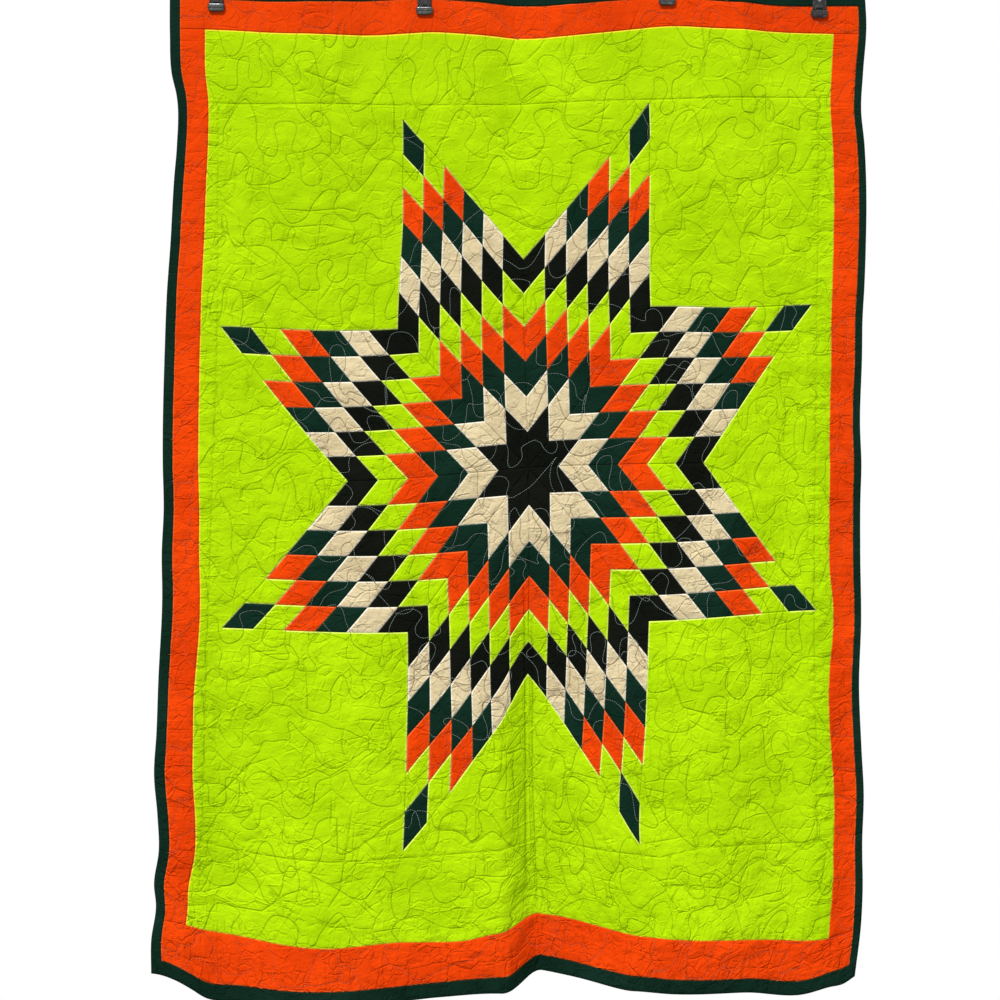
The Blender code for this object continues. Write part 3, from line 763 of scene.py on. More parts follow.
@dataclass
class Relief:
    """The quilt's low relief over its flat rectangle: puffs, quilting, creases and crinkles."""

    layout: Layout
    drape: Drape
    seed: int = 41
    row_pitch: float = 68 * MM
    line_reach: float = 7 * MM
    trough_width: float = 3.5 * MM
    held_spread: float = 10 * MM
    crease_width: float = 3.2 * MM
    puff: float = 3.0
    highest: float = 4.8
    loop_steps: int = 64
    flat_loops: float = 0.12

    def __post_init__(self) -> None:
        """Draws the lines and works out the heights, in millimetres."""
        self.random = np.random.default_rng(self.seed)
        self.raster = Raster(self.layout.rim)
        self.quilting = self._quilting_rows()
        self.stitched = self._quilted_part(self.raster.trace(self.quilting, self.line_reach))
        self.creased = self.raster.trace(self._creases(), self.line_reach)
        self.height = self._heights()
        log.info("relief: %d quilting rows on %d grid places", len(self.quilting), self.height.size)

    def quilted(self, flat: Array) -> Array:
        """Whether flat places lie inside the binding, where the cloth is quilted."""
        edges = self.layout.bordered
        across, up = flat[:, 0], flat[:, 1]
        return (across > edges.left) & (across < edges.right) & (up > edges.bottom) & (up < edges.top)

    def _quilted_part(self, trace: Trace) -> Trace:
        """The quilting's trace without what would cross the binding."""
        inside = self.quilted(self.raster.places()).reshape(trace.strength.shape)
        return Trace(trace.distance, trace.strength * inside)

    def _quilting_rows(self) -> list[Line]:
        """Rows of free quilting, each bent a little off its straight course by hand."""
        rim, random, raster = self.layout.rim, self.random, self.raster
        sway = [raster.noise(random, 90 * MM, 240 * MM) * 8 * MM for _ in range(2)]
        rows = []
        level = rim.bottom + self.row_pitch / 3
        while level < rim.top + self.row_pitch / 3:
            places = self._quilting_row(level + random.normal(0, 0.08) * self.row_pitch)
            places = places + np.column_stack([raster.read(shift, places) for shift in sway])
            depth = 0.8 + 0.2 * np.sin(np.linspace(0, random.uniform(30, 60), len(places)))
            rows.append(Line(places, depth))
            level += self.row_pitch
        return rows

    def _quilting_row(self, level: float) -> Array:
        """One row of quilting near a level: round loops up and down, as a slow river winds."""
        rim, random = self.layout.rim, self.random
        place = np.array([rim.left - self.row_pitch, level])
        way, parts = 1.0, []
        while place[0] < rim.right + self.row_pitch:
            goal = level + way * random.uniform(16, 50) * MM
            turn = way * random.uniform(1.1, 2.0)
            if random.random() < self.flat_loops:
                goal, turn = level + random.uniform(-8, 8) * MM, random.choice((-0.5, 0.5))
            share = (np.arange(self.loop_steps) + 0.5) / self.loop_steps
            heading = turn * np.sin(math.pi * share)
            rise = np.sin(heading).mean()
            length = np.clip((goal - place[1]) / rise, 30 * MM, 150 * MM)
            steps = np.column_stack([np.cos(heading), np.sin(heading)]) * length / len(share)
            parts.append(place + np.cumsum(steps, axis=0))
            place, way = parts[-1][-1], -way
        return np.vstack(parts)[::2]

    def _creases(self) -> list[Line]:
        """The main creases and seams as listed, then short ones at random and little gathers."""
        lines = []
        for crease in (*CREASES, *SEAMS):
            route = np.array(crease.route) * MM
            share = np.linspace(0, 1, 16 * len(route))
            at = np.linspace(0, 1, len(route))
            x, drop = (np.interp(share, at, route[:, axis]) for axis in (0, 1))
            fade = 1.0 if crease in SEAMS else np.minimum(1, 6 * np.minimum(share, 1 - share))
            places = self.drape.flat_of(x, drop)
            lines.append(Line(places, crease.depth * fade * np.ones(len(places))))
        return self._short_creases() + self._puckers() + lines

    def _short_creases(self, count: int = 2400) -> list[Line]:
        """Short creases all over, more upright and level than slanted."""
        rim, random = self.layout.rim, self.random
        lines = []
        for _ in range(count):
            middle = np.array([random.uniform(rim.left, rim.right), random.uniform(rim.bottom, rim.top)])
            angle = random.choice((0.0, 0.5, 0.28, 0.72), p=(0.26, 0.38, 0.18, 0.18)) * math.pi
            angle += random.normal(0, 0.28)
            length = random.gamma(2.6, 15 * MM) + 10 * MM
            share = np.linspace(-0.5, 0.5, 9)
            way = np.array([math.cos(angle), math.sin(angle)])
            bow = random.normal(0, 0.10) * length * (1 - 4 * share**2)
            places = middle + share[:, None] * length * way + bow[:, None] * (-way[1], way[0])
            depth = random.uniform(0.25, 1.0) * random.choice((1.0, -0.8), p=(0.62, 0.38))
            lines.append(Line(places, depth * (1 - np.abs(2 * share) ** 3)))
        return lines

    def _puckers(self) -> list[Line]:
        """Little gathers across the narrow strips, at right angles to the long seams."""
        layout = self.layout
        framed, rim = layout.framed, layout.rim
        sides = (
            (framed.left, layout.field.left, 1.0),
            (layout.field.right, framed.right, 1.0),
            (rim.left, framed.left, 0.6),
            (framed.right, rim.right, 0.6),
        )
        levels = (
            (rim.bottom, layout.bordered.bottom + 16 * MM, 0.9),
            (layout.bordered.bottom, framed.bottom, 0.7),
            (framed.bottom, framed.bottom + 30 * MM, 0.7),
            (framed.top, rim.top, 0.5),
        )
        lines = []
        for low, high, strength in sides:
            lines += self._gathers(low, high, framed.bottom, framed.top, strength, 0)
        for low, high, strength in levels:
            lines += self._gathers(low, high, rim.left, rim.right, strength, 1)
        return lines

    def _gathers(self, low: float, high: float, start: float, stop: float, strength: float,
                 axis: int) -> list[Line]:
        """Gathers in one strip.

        Args:
            low: One side of the strip.
            high: Its other side.
            start: Where the strip starts, lengthways.
            stop: Where it stops.
            strength: How strong the gathers are.
            axis: 0 if they run across, 1 if they run up.

        Returns:
            The gathers as lines.
        """
        random = self.random
        lines = []
        at = start
        while at < stop:
            first, last = np.sort(random.uniform(low, high, 2))
            first, last = (low, last) if random.random() < 0.5 else (first, high)
            share = np.linspace(0, 1, 6)
            run = first + max(last - first, 9 * MM) * share
            off = at + random.normal(0, 2 * MM) + random.normal(0, 4 * MM) * share
            places = np.column_stack([run, off] if axis == 0 else [off, run])
            depth = strength * random.uniform(0.3, 1.0) * random.choice((1.0, -0.7))
            lines.append(Line(places, depth * (1 - share**4)))
            at += random.uniform(6, 17) * MM
        return lines

    def _heights(self) -> Array:
        """How far the front stands off its stitched-down level at each grid place, in mm."""
        raster, random = self.raster, self.random
        shape = (raster.rows, raster.columns)
        trough = np.exp(-((self.stitched.distance / self.trough_width) ** 2))
        trough = trough * self.stitched.strength
        held = raster.blurred(trough, self.held_spread)
        height = self.puff - 0.9 * trough - self.puff * np.minimum(held, 0.8)
        lower = 0.86 - 0.34 * raster.up[:, None]
        height += 0.80 * lower * raster.blurred(raster.facets(random, 54 * MM), 2.0 * MM)
        height += 0.52 * lower * raster.blurred(raster.facets(random, 24 * MM), 1.4 * MM)
        height += 0.16 * lower * raster.noise(random, 7 * MM, 16 * MM)
        height += 0.40 * raster.noise(random, 45 * MM, 120 * MM)
        crease = np.exp(-((self.creased.distance / self.crease_width) ** 2))
        height -= crease * self.creased.strength
        place = self.drape.hang(raster.places())[:, [0, 2]]
        free = 1 - 0.6 * self.drape.near_a_clip(place).reshape(shape)
        return np.clip(height, 0.0, self.highest) * free

    def read(self, flat: Array) -> Array:
        """The front's height over its stitched-down level at flat places, in metres."""
        return self.raster.read(self.height, flat) * MM


class Node:
    """A socket whose arithmetic adds Math nodes to its tree."""

    def __init__(self, graph: "Graph", socket: bpy.types.NodeSocket) -> None:
        """Wraps an output socket of a graph's tree."""
        self.graph = graph
        self.socket = socket

    def _math(self, operation: str, *values: Any) -> "Node":
        """A Math node on some values."""
        return self.graph.add("ShaderNodeMath", {"operation": operation}, dict(enumerate(values)))

    def __add__(self, other: Any) -> "Node":
        """The sum."""
        return self._math("ADD", self, other)

    def __radd__(self, other: Any) -> "Node":
        """The sum, from the right."""
        return self._math("ADD", other, self)

    def __sub__(self, other: Any) -> "Node":
        """The difference."""
        return self._math("SUBTRACT", self, other)

    def __rsub__(self, other: Any) -> "Node":
        """The difference, from the right."""
        return self._math("SUBTRACT", other, self)

    def __mul__(self, other: Any) -> "Node":
        """The product."""
        return self._math("MULTIPLY", self, other)

    def __rmul__(self, other: Any) -> "Node":
        """The product, from the right."""
        return self._math("MULTIPLY", other, self)

    def __truediv__(self, other: Any) -> "Node":
        """The quotient."""
        return self._math("DIVIDE", self, other)

    def __neg__(self) -> "Node":
        """The value with its sign turned."""
        return self._math("MULTIPLY", self, -1.0)

    def __abs__(self) -> "Node":
        """The size without its sign."""
        return self._math("ABSOLUTE", self)

    def sin(self) -> "Node":
        """The sine."""
        return self._math("SINE", self)

    def exp(self) -> "Node":
        """e to this value."""
        return self._math("EXPONENT", self)

    def least(self, other: Any) -> "Node":
        """The smaller of two values."""
        return self._math("MINIMUM", self, other)

    def most(self, other: Any) -> "Node":
        """The larger of two values."""
        return self._math("MAXIMUM", self, other)

    def hill(self, width: float) -> "Node":
        """1 where the value is 0, falling away over a width."""
        share = self / width
        return (-(share * share)).exp()

    def between(self, low: float, high: float) -> "Node":
        """0 below low, 1 above high and an S between."""
        settings = {"interpolation_type": "SMOOTHSTEP", "clamp": True}
        return self.graph.add("ShaderNodeMapRange", settings, {"Value": self, 1: low, 2: high})

    def out(self, name: str) -> "Node":
        """Another output of the node that this socket belongs to."""
        return Node(self.graph, self.socket.node.outputs[name])


class Graph:
    """Adds nodes to a shader or geometry tree."""

    def __init__(self, tree: bpy.types.NodeTree) -> None:
        """Starts from a tree."""
        self.tree = tree

    def add(self, kind: str, settings: dict[str, Any] | None = None,
            values: dict[int | str, Any] | None = None) -> Node:
        """Adds a node.

        Args:
            kind: The node's type.
            settings: Its own settings.
            values: A value or a Node for each input, by name or number.

        Returns:
            The node's first output that is switched on.
        """
        node = self.tree.nodes.new(kind)
        for name, value in (settings or {}).items():
            setattr(node, name, value)
        self.feed(node, values or {})
        outputs = [socket for socket in node.outputs if socket.enabled]
        return Node(self, outputs[0])

    def feed(self, node: bpy.types.Node, values: dict[int | str, Any]) -> None:
        """Sets a node's inputs, or links them where the value is a Node."""
        for name, value in values.items():
            if isinstance(value, Node):
                self.tree.links.new(value.socket, node.inputs[name])
            else:
                node.inputs[name].default_value = value

    def bumped(self, height: Node, strength: float = 1.0) -> Node:
        """The surface's normal over a height in millimetres."""
        values = {"Strength": strength, "Distance": MM, "Height": height}
        return self.add("ShaderNodeBump", None, values)

    def object_place(self) -> Node:
        """The place in the object's own coordinates, in metres."""
        return self.add("ShaderNodeTexCoord").out("Object")

    def attribute(self, name: str) -> Node:
        """A number that the mesh stores at its points."""
        return self.add("ShaderNodeAttribute", {"attribute_name": name}).out("Fac")

    def vectors(self, operation: str, *values: Any) -> Node:
        """A Vector Math node on some values."""
        settings = {"operation": operation}
        return self.add("ShaderNodeVectorMath", settings, dict(enumerate(values)))

    def mixed(self, share: Any, first: Any, second: Any) -> Node:
        """A colour blended from two."""
        first, second = (
            (*value, 1.0) if isinstance(value, tuple) else value for value in (first, second)
        )
        node = self.add("ShaderNodeMix", {"data_type": "RGBA"}, {0: share, 6: first, 7: second})
        return Node(self, node.socket.node.outputs[2])

    def noise(self, where: Any, waves: float, detail: float = 2.0, roughness: float = 0.5) -> Node:
        """Cloudy noise, 0 to 1, with a number of waves in a metre."""
        values = {"Vector": where, "Scale": waves, "Detail": detail, "Roughness": roughness}
        return self.add("ShaderNodeTexNoise", None, values)


def new_material(name: str) -> tuple[bpy.types.Material, Graph, bpy.types.Node]:
    """A new material, its graph and its Principled BSDF."""
    material = bpy.data.materials.new(name)
    material.use_nodes = True
    shader = material.node_tree.nodes["Principled BSDF"]
    return material, Graph(material.node_tree), shader


@dataclass(frozen=True)
class Cotton:
    """A plain woven cotton of one dye, with its slot in the record."""

    name: str
    slot: str
    colour: Colour
    # pale and deep bound the dye's random clouding; deep is also the colour of the painted shade in the
    # quilting lines, creases and seams.
    pale: Colour
    deep: Colour
    # rim, and the border's rim colour after it, are the painted highlight along a seam's turned edge, at
    # the share given below.
    rim: Colour
    border_seam_highlight: Colour | None = None
    seam_highlight_share: float = 0.8
    crumple: float = 1.0
    roughness: float = 0.95
    gloss: float = 0.03
    thread_pitch: float = 0.55 * MM
    # groove sets how strong the painted shade is in the quilting lines and creases.
    groove: float = 0.6
    wander: float = 16 * MM
    facets: tuple[tuple[float, float], ...] = ((21.0, 1.8), (47.0, 1.2))
    wrinkles: tuple[tuple[float, float], ...] = ((17.0, -1.1), (25.0, 0.9), (50.0, -0.8))
    wrinkle_width: float = 1.5 * MM

    def material(self) -> bpy.types.Material:
        """The weave, the clouding of the dye, the pressed lines, the painted shade in them and the painted
        highlight at the seam's edge.
        """
        material, graph, shader = new_material(self.name)
        flat = graph.add("ShaderNodeUVMap", {"uv_map": "flat"})
        colour = self._colour(graph, flat)
        height = self._pressed(graph) + self._crumpled(graph, flat) + self._woven(graph, flat)
        graph.feed(shader, {
            "Base Color": colour, "Normal": graph.bumped(height),
            "Roughness": self.roughness, "Specular IOR Level": self.gloss,
        })
        return material

    def _colour(self, graph: Graph, flat: Node) -> Node:
        """The dye, clouded and slubbed, with painted shade in the quilting lines, creases and seams,
        stronger lower down, and a painted highlight at some seams' edge.
        """
        clouds = graph.noise(flat, 7.0, 3.0)
        stretched = graph.add("ShaderNodeMapping", None, {0: flat, 3: (260.0, 1500.0, 1.0)})
        slubs = graph.noise(stretched, 1.0)
        tone = (clouds * 0.7 + slubs * 0.3).between(0.28, 0.72)
        colour = graph.mixed(tone, self.deep, self.pale)
        colour = graph.mixed(0.66, colour, self.colour)
        # Painted shade: darker towards deep in the quilting lines and troughed creases, more so lower
        # down.
        line = graph.attribute("stitch_distance").hill(0.9) * graph.attribute("stitch_strength")
        fold = graph.attribute("crease_distance").hill(1.0) * graph.attribute("crease_strength")
        level = graph.add("ShaderNodeSeparateXYZ", None, {0: flat}).out("Y")
        dark = (line + fold.most(0.0)).least(1.0) * (0.9 - level * 0.4) * self.groove
        colour = graph.mixed(dark, colour, self.deep)
        # Painted highlight: a paler rim along the turned edge of some seams.
        edge = (graph.attribute("seam_highlight_distance") - 1.1).hill(1.3) * self.seam_highlight_share
        rim = graph.mixed(graph.attribute("by_border"), self.rim, self.border_seam_highlight or self.rim)
        colour = graph.mixed(edge, colour, rim)
        # Painted shade in the ditch of every seam.
        return graph.mixed(graph.attribute("seam_distance").hill(0.5) * 0.45, colour, self.deep)

    def _pressed(self, graph: Graph) -> Node:
        """Height in mm of the quilting, the creases and the seams."""
        stitch = graph.attribute("stitch_distance")
        stitched = graph.attribute("stitch_strength")
        crease = graph.attribute("crease_distance")
        creased = graph.attribute("crease_strength")
        seam = graph.attribute("seam_distance")
        groove = stitch.hill(1.1) * stitched * -0.75
        beside = (abs(stitch) - 3.0).hill(1.4) * stitched * 0.2
        folded = crease.hill(1.6) * creased * -1.2
        sunk = seam.hill(1.2) * -0.6
        lifted = (seam - 2.6).hill(1.5) * 0.25
        return groove + beside + folded + sunk + lifted

    def _crumpled(self, graph: Graph, flat: Node) -> Node:
        """Height in mm of crumpled facets of two sizes, creased where they meet."""
        wander = graph.add("ShaderNodeTexNoise", None, {"Vector": flat, "Scale": 24.0}).out("Color")
        shift = graph.vectors("MULTIPLY_ADD", wander, (self.wander, self.wander, 0.0), flat)
        height = graph.noise(flat, 115.0, 3.0, 0.6) * 1.4
        settings = {"voronoi_dimensions": "2D", "distance": "MANHATTAN"}
        for waves, size in self.facets:
            cells = graph.add("ShaderNodeTexVoronoi", settings, {"Vector": shift, "Scale": waves})
            patchy = graph.noise(flat, waves * 0.4, 1.0).between(0.3, 0.7)
            height = height + cells * patchy * size
        settings = {"voronoi_dimensions": "2D", "feature": "DISTANCE_TO_EDGE"}
        for waves, size in self.wrinkles:
            edge = graph.add("ShaderNodeTexVoronoi", settings, {"Vector": shift, "Scale": waves})
            shown_part = graph.noise(flat, waves * 0.6, 1.0).between(0.42, 0.62)
            height = height + edge.hill(waves * self.wrinkle_width) * shown_part * size
        level = graph.add("ShaderNodeSeparateXYZ", None, {0: flat}).out("Y")
        return height * (0.86 - level * 0.34) * self.crumple

    def _woven(self, graph: Graph, flat: Node) -> Node:
        """Height in mm of the plain weave."""
        parts = graph.add("ShaderNodeSeparateXYZ", None, {0: flat})
        waves = TURN / self.thread_pitch
        return (parts.out("X") * waves).sin() * (parts.out("Y") * waves).sin() * 0.03


LIME = (0.445, 0.745, 0.0015)
ORANGE = (0.83, 0.055, 0.0020)
COTTONS = {
    Dye.BLACK: Cotton(
        "black cotton", "black_cloth", (0.0046, 0.0060, 0.0040), (0.013, 0.014, 0.010),
        (0.001, 0.0015, 0.001), (0.012, 0.014, 0.010), groove=0.3,
    ),
    Dye.CREAM: Cotton(
        "cream cotton", "cream_cloth", (0.72, 0.595, 0.345), (0.82, 0.70, 0.46),
        (0.40, 0.30, 0.165), (0.90, 0.86, 0.74), seam_highlight_share=0.9, groove=0.6, crumple=1.5,
    ),
    Dye.GREEN: Cotton(
        "green cotton", "green_cloth", (0.0046, 0.0232, 0.0135), (0.011, 0.038, 0.025),
        (0.001, 0.008, 0.003), (0.010, 0.036, 0.023), groove=0.3,
    ),
    Dye.ORANGE: Cotton(
        "orange cotton", "orange_cloth", ORANGE, (0.90, 0.080, 0.004),
        (0.42, 0.018, 0.001), (0.86, 0.20, 0.05), seam_highlight_share=0.55, groove=0.35, crumple=1.3,
    ),
    Dye.LIME: Cotton(
        "lime cotton", "lime_cloth", LIME, (0.52, 0.80, 0.006),
        (0.20, 0.38, 0.0005), (0.84, 0.92, 0.20), (1.0, 0.60, 0.045), seam_highlight_share=0.8, groove=0.5,
    ),
}


def mesh_from(name: str, places: Array, faces: Array) -> bpy.types.Mesh:
    """A new mesh.

    Args:
        name: The mesh's name.
        places: Vertices, shape (n, 3).
        faces: Vertex numbers, shape (m, 3) or (m, 4), counterclockwise seen from outside.

    Returns:
        The mesh, shaded smooth.
    """
    mesh = bpy.data.meshes.new(name)
    sides = faces.shape[1]
    mesh.vertices.add(len(places))
    mesh.vertices.foreach_set("co", np.asarray(places, np.float32).ravel())
    mesh.loops.add(faces.size)
    mesh.loops.foreach_set("vertex_index", np.asarray(faces, np.int32).ravel())
    mesh.polygons.add(len(faces))
    mesh.polygons.foreach_set("loop_start", np.arange(0, faces.size, sides, dtype=np.int32))
    mesh.update(calc_edges=True)
    mesh.validate()
    mesh.shade_smooth()
    return mesh


def shown(mesh: bpy.types.Mesh, name: str) -> bpy.types.Object:
    """A mesh as an object of the scene."""
    piece = bpy.data.objects.new(name, mesh)
    bpy.context.scene.collection.objects.link(piece)
    return piece


def store(mesh: bpy.types.Mesh, name: str, values: Array) -> None:
    """Stores a number, or a vector, at each of a mesh's points."""
    kind = "FLOAT" if values.ndim == 1 else "FLOAT_VECTOR"
    attribute = mesh.attributes.new(name, kind, "POINT")
    key = "value" if values.ndim == 1 else "vector"
    attribute.data.foreach_set(key, np.asarray(values, np.float32).ravel())


def stored_pairs(mesh: bpy.types.Mesh, name: str) -> Array:
    """The first two numbers of the vectors that a mesh stores under a name, shape (n, 2)."""
    values = np.empty(len(mesh.vertices) * 3, np.float32)
    mesh.attributes[name].data.foreach_get("vector", values)
    return values.reshape(-1, 3)[:, :2].astype(float)


def grid_faces(rows: int, columns: int) -> Array:
    """The quads of a grid of points that go row by row, each row to the right."""
    first = (np.arange(rows - 1)[:, None] * columns + np.arange(columns - 1)[None]).ravel()
    return np.column_stack([first, first + 1, first + columns + 1, first + columns])


class Patch(NamedTuple):
    """A flat patch of cloth: its places, its faces and how far its seams are from each place.

    pale is the distance to the seams that carry a painted highlight along their turned edge.
    """

    places: Array
    faces: Array
    seam: Array
    pale: Array


def four_sided(corners: Sequence[Array], steps: int, sewn: Sequence[int]) -> Patch:
    """A patch over four corners, counterclockwise, in even steps.

    Args:
        corners: The corners.
        steps: How many steps each side has.
        sewn: Which sides meet another colour, by the number of the corner they start at.

    Returns:
        The patch.
    """
    a, b, c, d = (np.asarray(corner, float) for corner in corners)
    u = np.linspace(0, 1, steps + 1)[None, :, None]
    v = np.linspace(0, 1, steps + 1)[:, None, None]
    places = (1 - u) * (1 - v) * a + u * (1 - v) * b + u * v * c + (1 - u) * v * d
    places = places.reshape(-1, 2)
    seam, pale = (seam_distance(places, (a, b, c, d), sewn, gap) for gap in (None, LIME_SHARES))
    return Patch(places, grid_faces(steps + 1, steps + 1), seam, pale)


def three_sided(corners: Sequence[Array], steps: int, sewn: Sequence[int]) -> Patch:
    """A patch over three corners, counterclockwise, in even steps, as four_sided makes it."""
    a, b, c = (np.asarray(corner, float) for corner in corners)
    rows = [np.arange(steps + 1 - j) for j in range(steps + 1)]
    start = np.cumsum([0] + [len(row) for row in rows])
    places = np.vstack([
        a + (b - a) * row[:, None] / steps + (c - a) * j / steps for j, row in enumerate(rows)
    ])
    faces = []
    for j, row in enumerate(rows[:-1]):
        low = start[j] + row[:-1]
        high = start[j + 1] + row[:-1]
        faces.append(np.column_stack([low, low + 1, high]))
        faces.append(np.column_stack([low[1:], high[1:], high[:-1]]))
    seam, pale = (seam_distance(places, (a, b, c), sewn, gap) for gap in (None, LIME_SHARES))
    return Patch(places, np.vstack(faces), seam, pale)


# Where the star's own lime diamonds meet the lime field, as shares of a point's side.
LIME_SHARES = (4 / 6, 5 / 6)


def seam_distance(places: Array, corners: Sequence[Array], sides: Sequence[int],
                  gap: tuple[float, float] | None = None) -> Array:
    """How far places inside a convex outline are from the nearest of some sides.

    Args:
        places: Flat places.
        corners: The outline, counterclockwise.
        sides: The sides, by the number of the corner they start at.
        gap: A part of each side that doesn't count, as shares of the way from the first corner.

    Returns:
        Distances in metres, at most NO_SEAM.
    """
    distance = np.full(len(places), NO_SEAM)
    for i in sides:
        corner = corners[i]
        way = corners[(i + 1) % len(corners)] - corner
        length = np.linalg.norm(way)
        near = (places - corner) @ np.array([-way[1], way[0]]) / length
        if gap:
            share = (places - corner) @ way / length**2
            share = share if i == 0 else 1 - share
            near = np.where((share > gap[0]) & (share < gap[1]), NO_SEAM, near)
        distance = np.minimum(distance, near)
    return np.maximum(distance, 0.0)


def joined(patches: Sequence[Patch]) -> Patch:
    """Several patches with faces of the same number of sides, as one."""
    start = np.cumsum([0] + [len(patch.places) for patch in patches])
    return Patch(
        np.vstack([patch.places for patch in patches]),
        np.vstack([patch.faces + first for patch, first in zip(patches, start)]),
        np.hstack([patch.seam for patch in patches]),
        np.hstack([patch.pale for patch in patches]),
    )


@dataclass
class Tailor:
    """Hangs flat cloth with its relief and gives each piece what its material reads."""

    layout: Layout
    drape: Drape
    relief: Relief
    seam_depth: float = 1.1 * MM
    seam_width: float = 3.0 * MM
    cap: float = 6 * MM
    materials: dict[Dye, bpy.types.Material] = field(default_factory=dict)

    def __post_init__(self) -> None:
        """Makes the cottons."""
        self.materials = {dye: cotton.material() for dye, cotton in COTTONS.items()}

    def front(self, flat: Array, seam: Array) -> Array:
        """Where the front of the cloth is at flat places, sunk in at its seams."""
        middle, normal = self.drape.surface(flat)
        lift = self.layout.thickness / 2 + self.relief.read(flat)
        lift = lift - self.seam_depth * np.exp(-((seam / self.seam_width) ** 2))
        return middle + normal * lift[:, None]

    def mark(self, mesh: bpy.types.Mesh, flat: Array, seam: Array, pale: Array) -> None:
        """Stores the flat places as UVs, and the distances to lines in millimetres."""
        raster = self.relief.raster
        loops = np.empty(len(mesh.loops), np.int32)
        mesh.loops.foreach_get("vertex_index", loops)
        layer = mesh.uv_layers.new(name="flat")
        layer.data.foreach_set("uv", np.asarray(flat, np.float32)[loops].ravel())
        for name, trace in (("stitch", self.relief.stitched), ("crease", self.relief.creased)):
            distance = np.clip(raster.read(trace.distance, flat), -self.cap, self.cap)
            near = 1 - np.abs(raster.read(np.abs(trace.distance), flat)) / self.relief.line_reach
            strength = raster.read(trace.strength, flat) * np.clip(2.2 * near, 0, 1)
            store(mesh, f"{name}_distance", distance / MM)
            store(mesh, f"{name}_strength", strength)
        inner = self.layout.field
        outside = (flat[:, 0] < inner.left) | (flat[:, 0] > inner.right)
        outside |= (flat[:, 1] < inner.bottom) | (flat[:, 1] > inner.top)
        store(mesh, "by_border", outside.astype(float))
        store(mesh, "seam_distance", seam / MM)
        store(mesh, "seam_highlight_distance", pale / MM)

    def piece(self, name: str, patch: Patch, dye: Dye, nodes: Iterable[str]) -> bpy.types.Object:
        """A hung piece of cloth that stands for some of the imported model's nodes."""
        mesh = mesh_from(name, self.front(patch.places, patch.seam), patch.faces)
        return self.finished(mesh, name, patch, dye, nodes)

    def finished(self, mesh: bpy.types.Mesh, name: str, patch: Patch, dye: Dye,
                 nodes: Iterable[str]) -> bpy.types.Object:
        """Marks a hung mesh, gives it its cotton and hangs it on the model's body."""
        self.mark(mesh, patch.places, patch.seam, patch.pale)
        mesh.materials.clear()
        mesh.materials.append(self.materials[dye])
        piece = shown(mesh, name)
        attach(piece, ROOT_BODY)
        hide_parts(*nodes)
        log.info("%s: %d faces", name, len(mesh.polygons))
        return piece


class Tree:
    """A Geometry Nodes tree with named inputs."""

    def __init__(self, name: str, inputs: Sequence[tuple[str, str]]) -> None:
        """Starts a tree.

        Args:
            name: The tree's name.
            inputs: Each input's name and socket type, after the geometry.
        """
        self.tree = bpy.data.node_groups.new(name, "GeometryNodeTree")
        face = self.tree.interface
        face.new_socket(name="Geometry", in_out="INPUT", socket_type="NodeSocketGeometry")
        for title, kind in inputs:
            face.new_socket(name=title, in_out="INPUT", socket_type=kind)
        face.new_socket(name="Geometry", in_out="OUTPUT", socket_type="NodeSocketGeometry")
        self.graph = Graph(self.tree)
        self.start = self.tree.nodes.new("NodeGroupInput")
        self.end = self.tree.nodes.new("NodeGroupOutput")

    def given(self, name: str) -> Node:
        """One of the tree's inputs."""
        return Node(self.graph, self.start.outputs[name])

    def stored(self, name: str) -> Node:
        """A vector that the geometry stores under a name."""
        settings = {"data_type": "FLOAT_VECTOR"}
        return self.graph.add("GeometryNodeInputNamedAttribute", settings, {"Name": name})

    def finish(self, geometry: Node) -> None:
        """Sends a geometry to the tree's output."""
        self.graph.feed(self.end, {"Geometry": geometry})

    def grow(self, points: bpy.types.Mesh, values: dict[str, Any]) -> bpy.types.Mesh:
        """Runs the tree once.

        Args:
            points: The mesh that the tree starts from, which is then removed.
            values: A value for each named input.

        Returns:
            The result as a plain mesh.
        """
        carrier = shown(points, points.name)
        modifier = carrier.modifiers.new(self.tree.name, "NODES")
        modifier.node_group = self.tree
        for item in self.tree.interface.items_tree:
            if item.in_out == "INPUT" and item.name in values:
                modifier[item.identifier] = values[item.name]
        depsgraph = bpy.context.evaluated_depsgraph_get()
        grown = carrier.evaluated_get(depsgraph)
        mesh = bpy.data.meshes.new_from_object(
            grown, preserve_all_data_layers=True, depsgraph=depsgraph
        )
        carrier.modifiers.remove(modifier)
        bpy.data.objects.remove(carrier)
        bpy.data.meshes.remove(points)
        return mesh


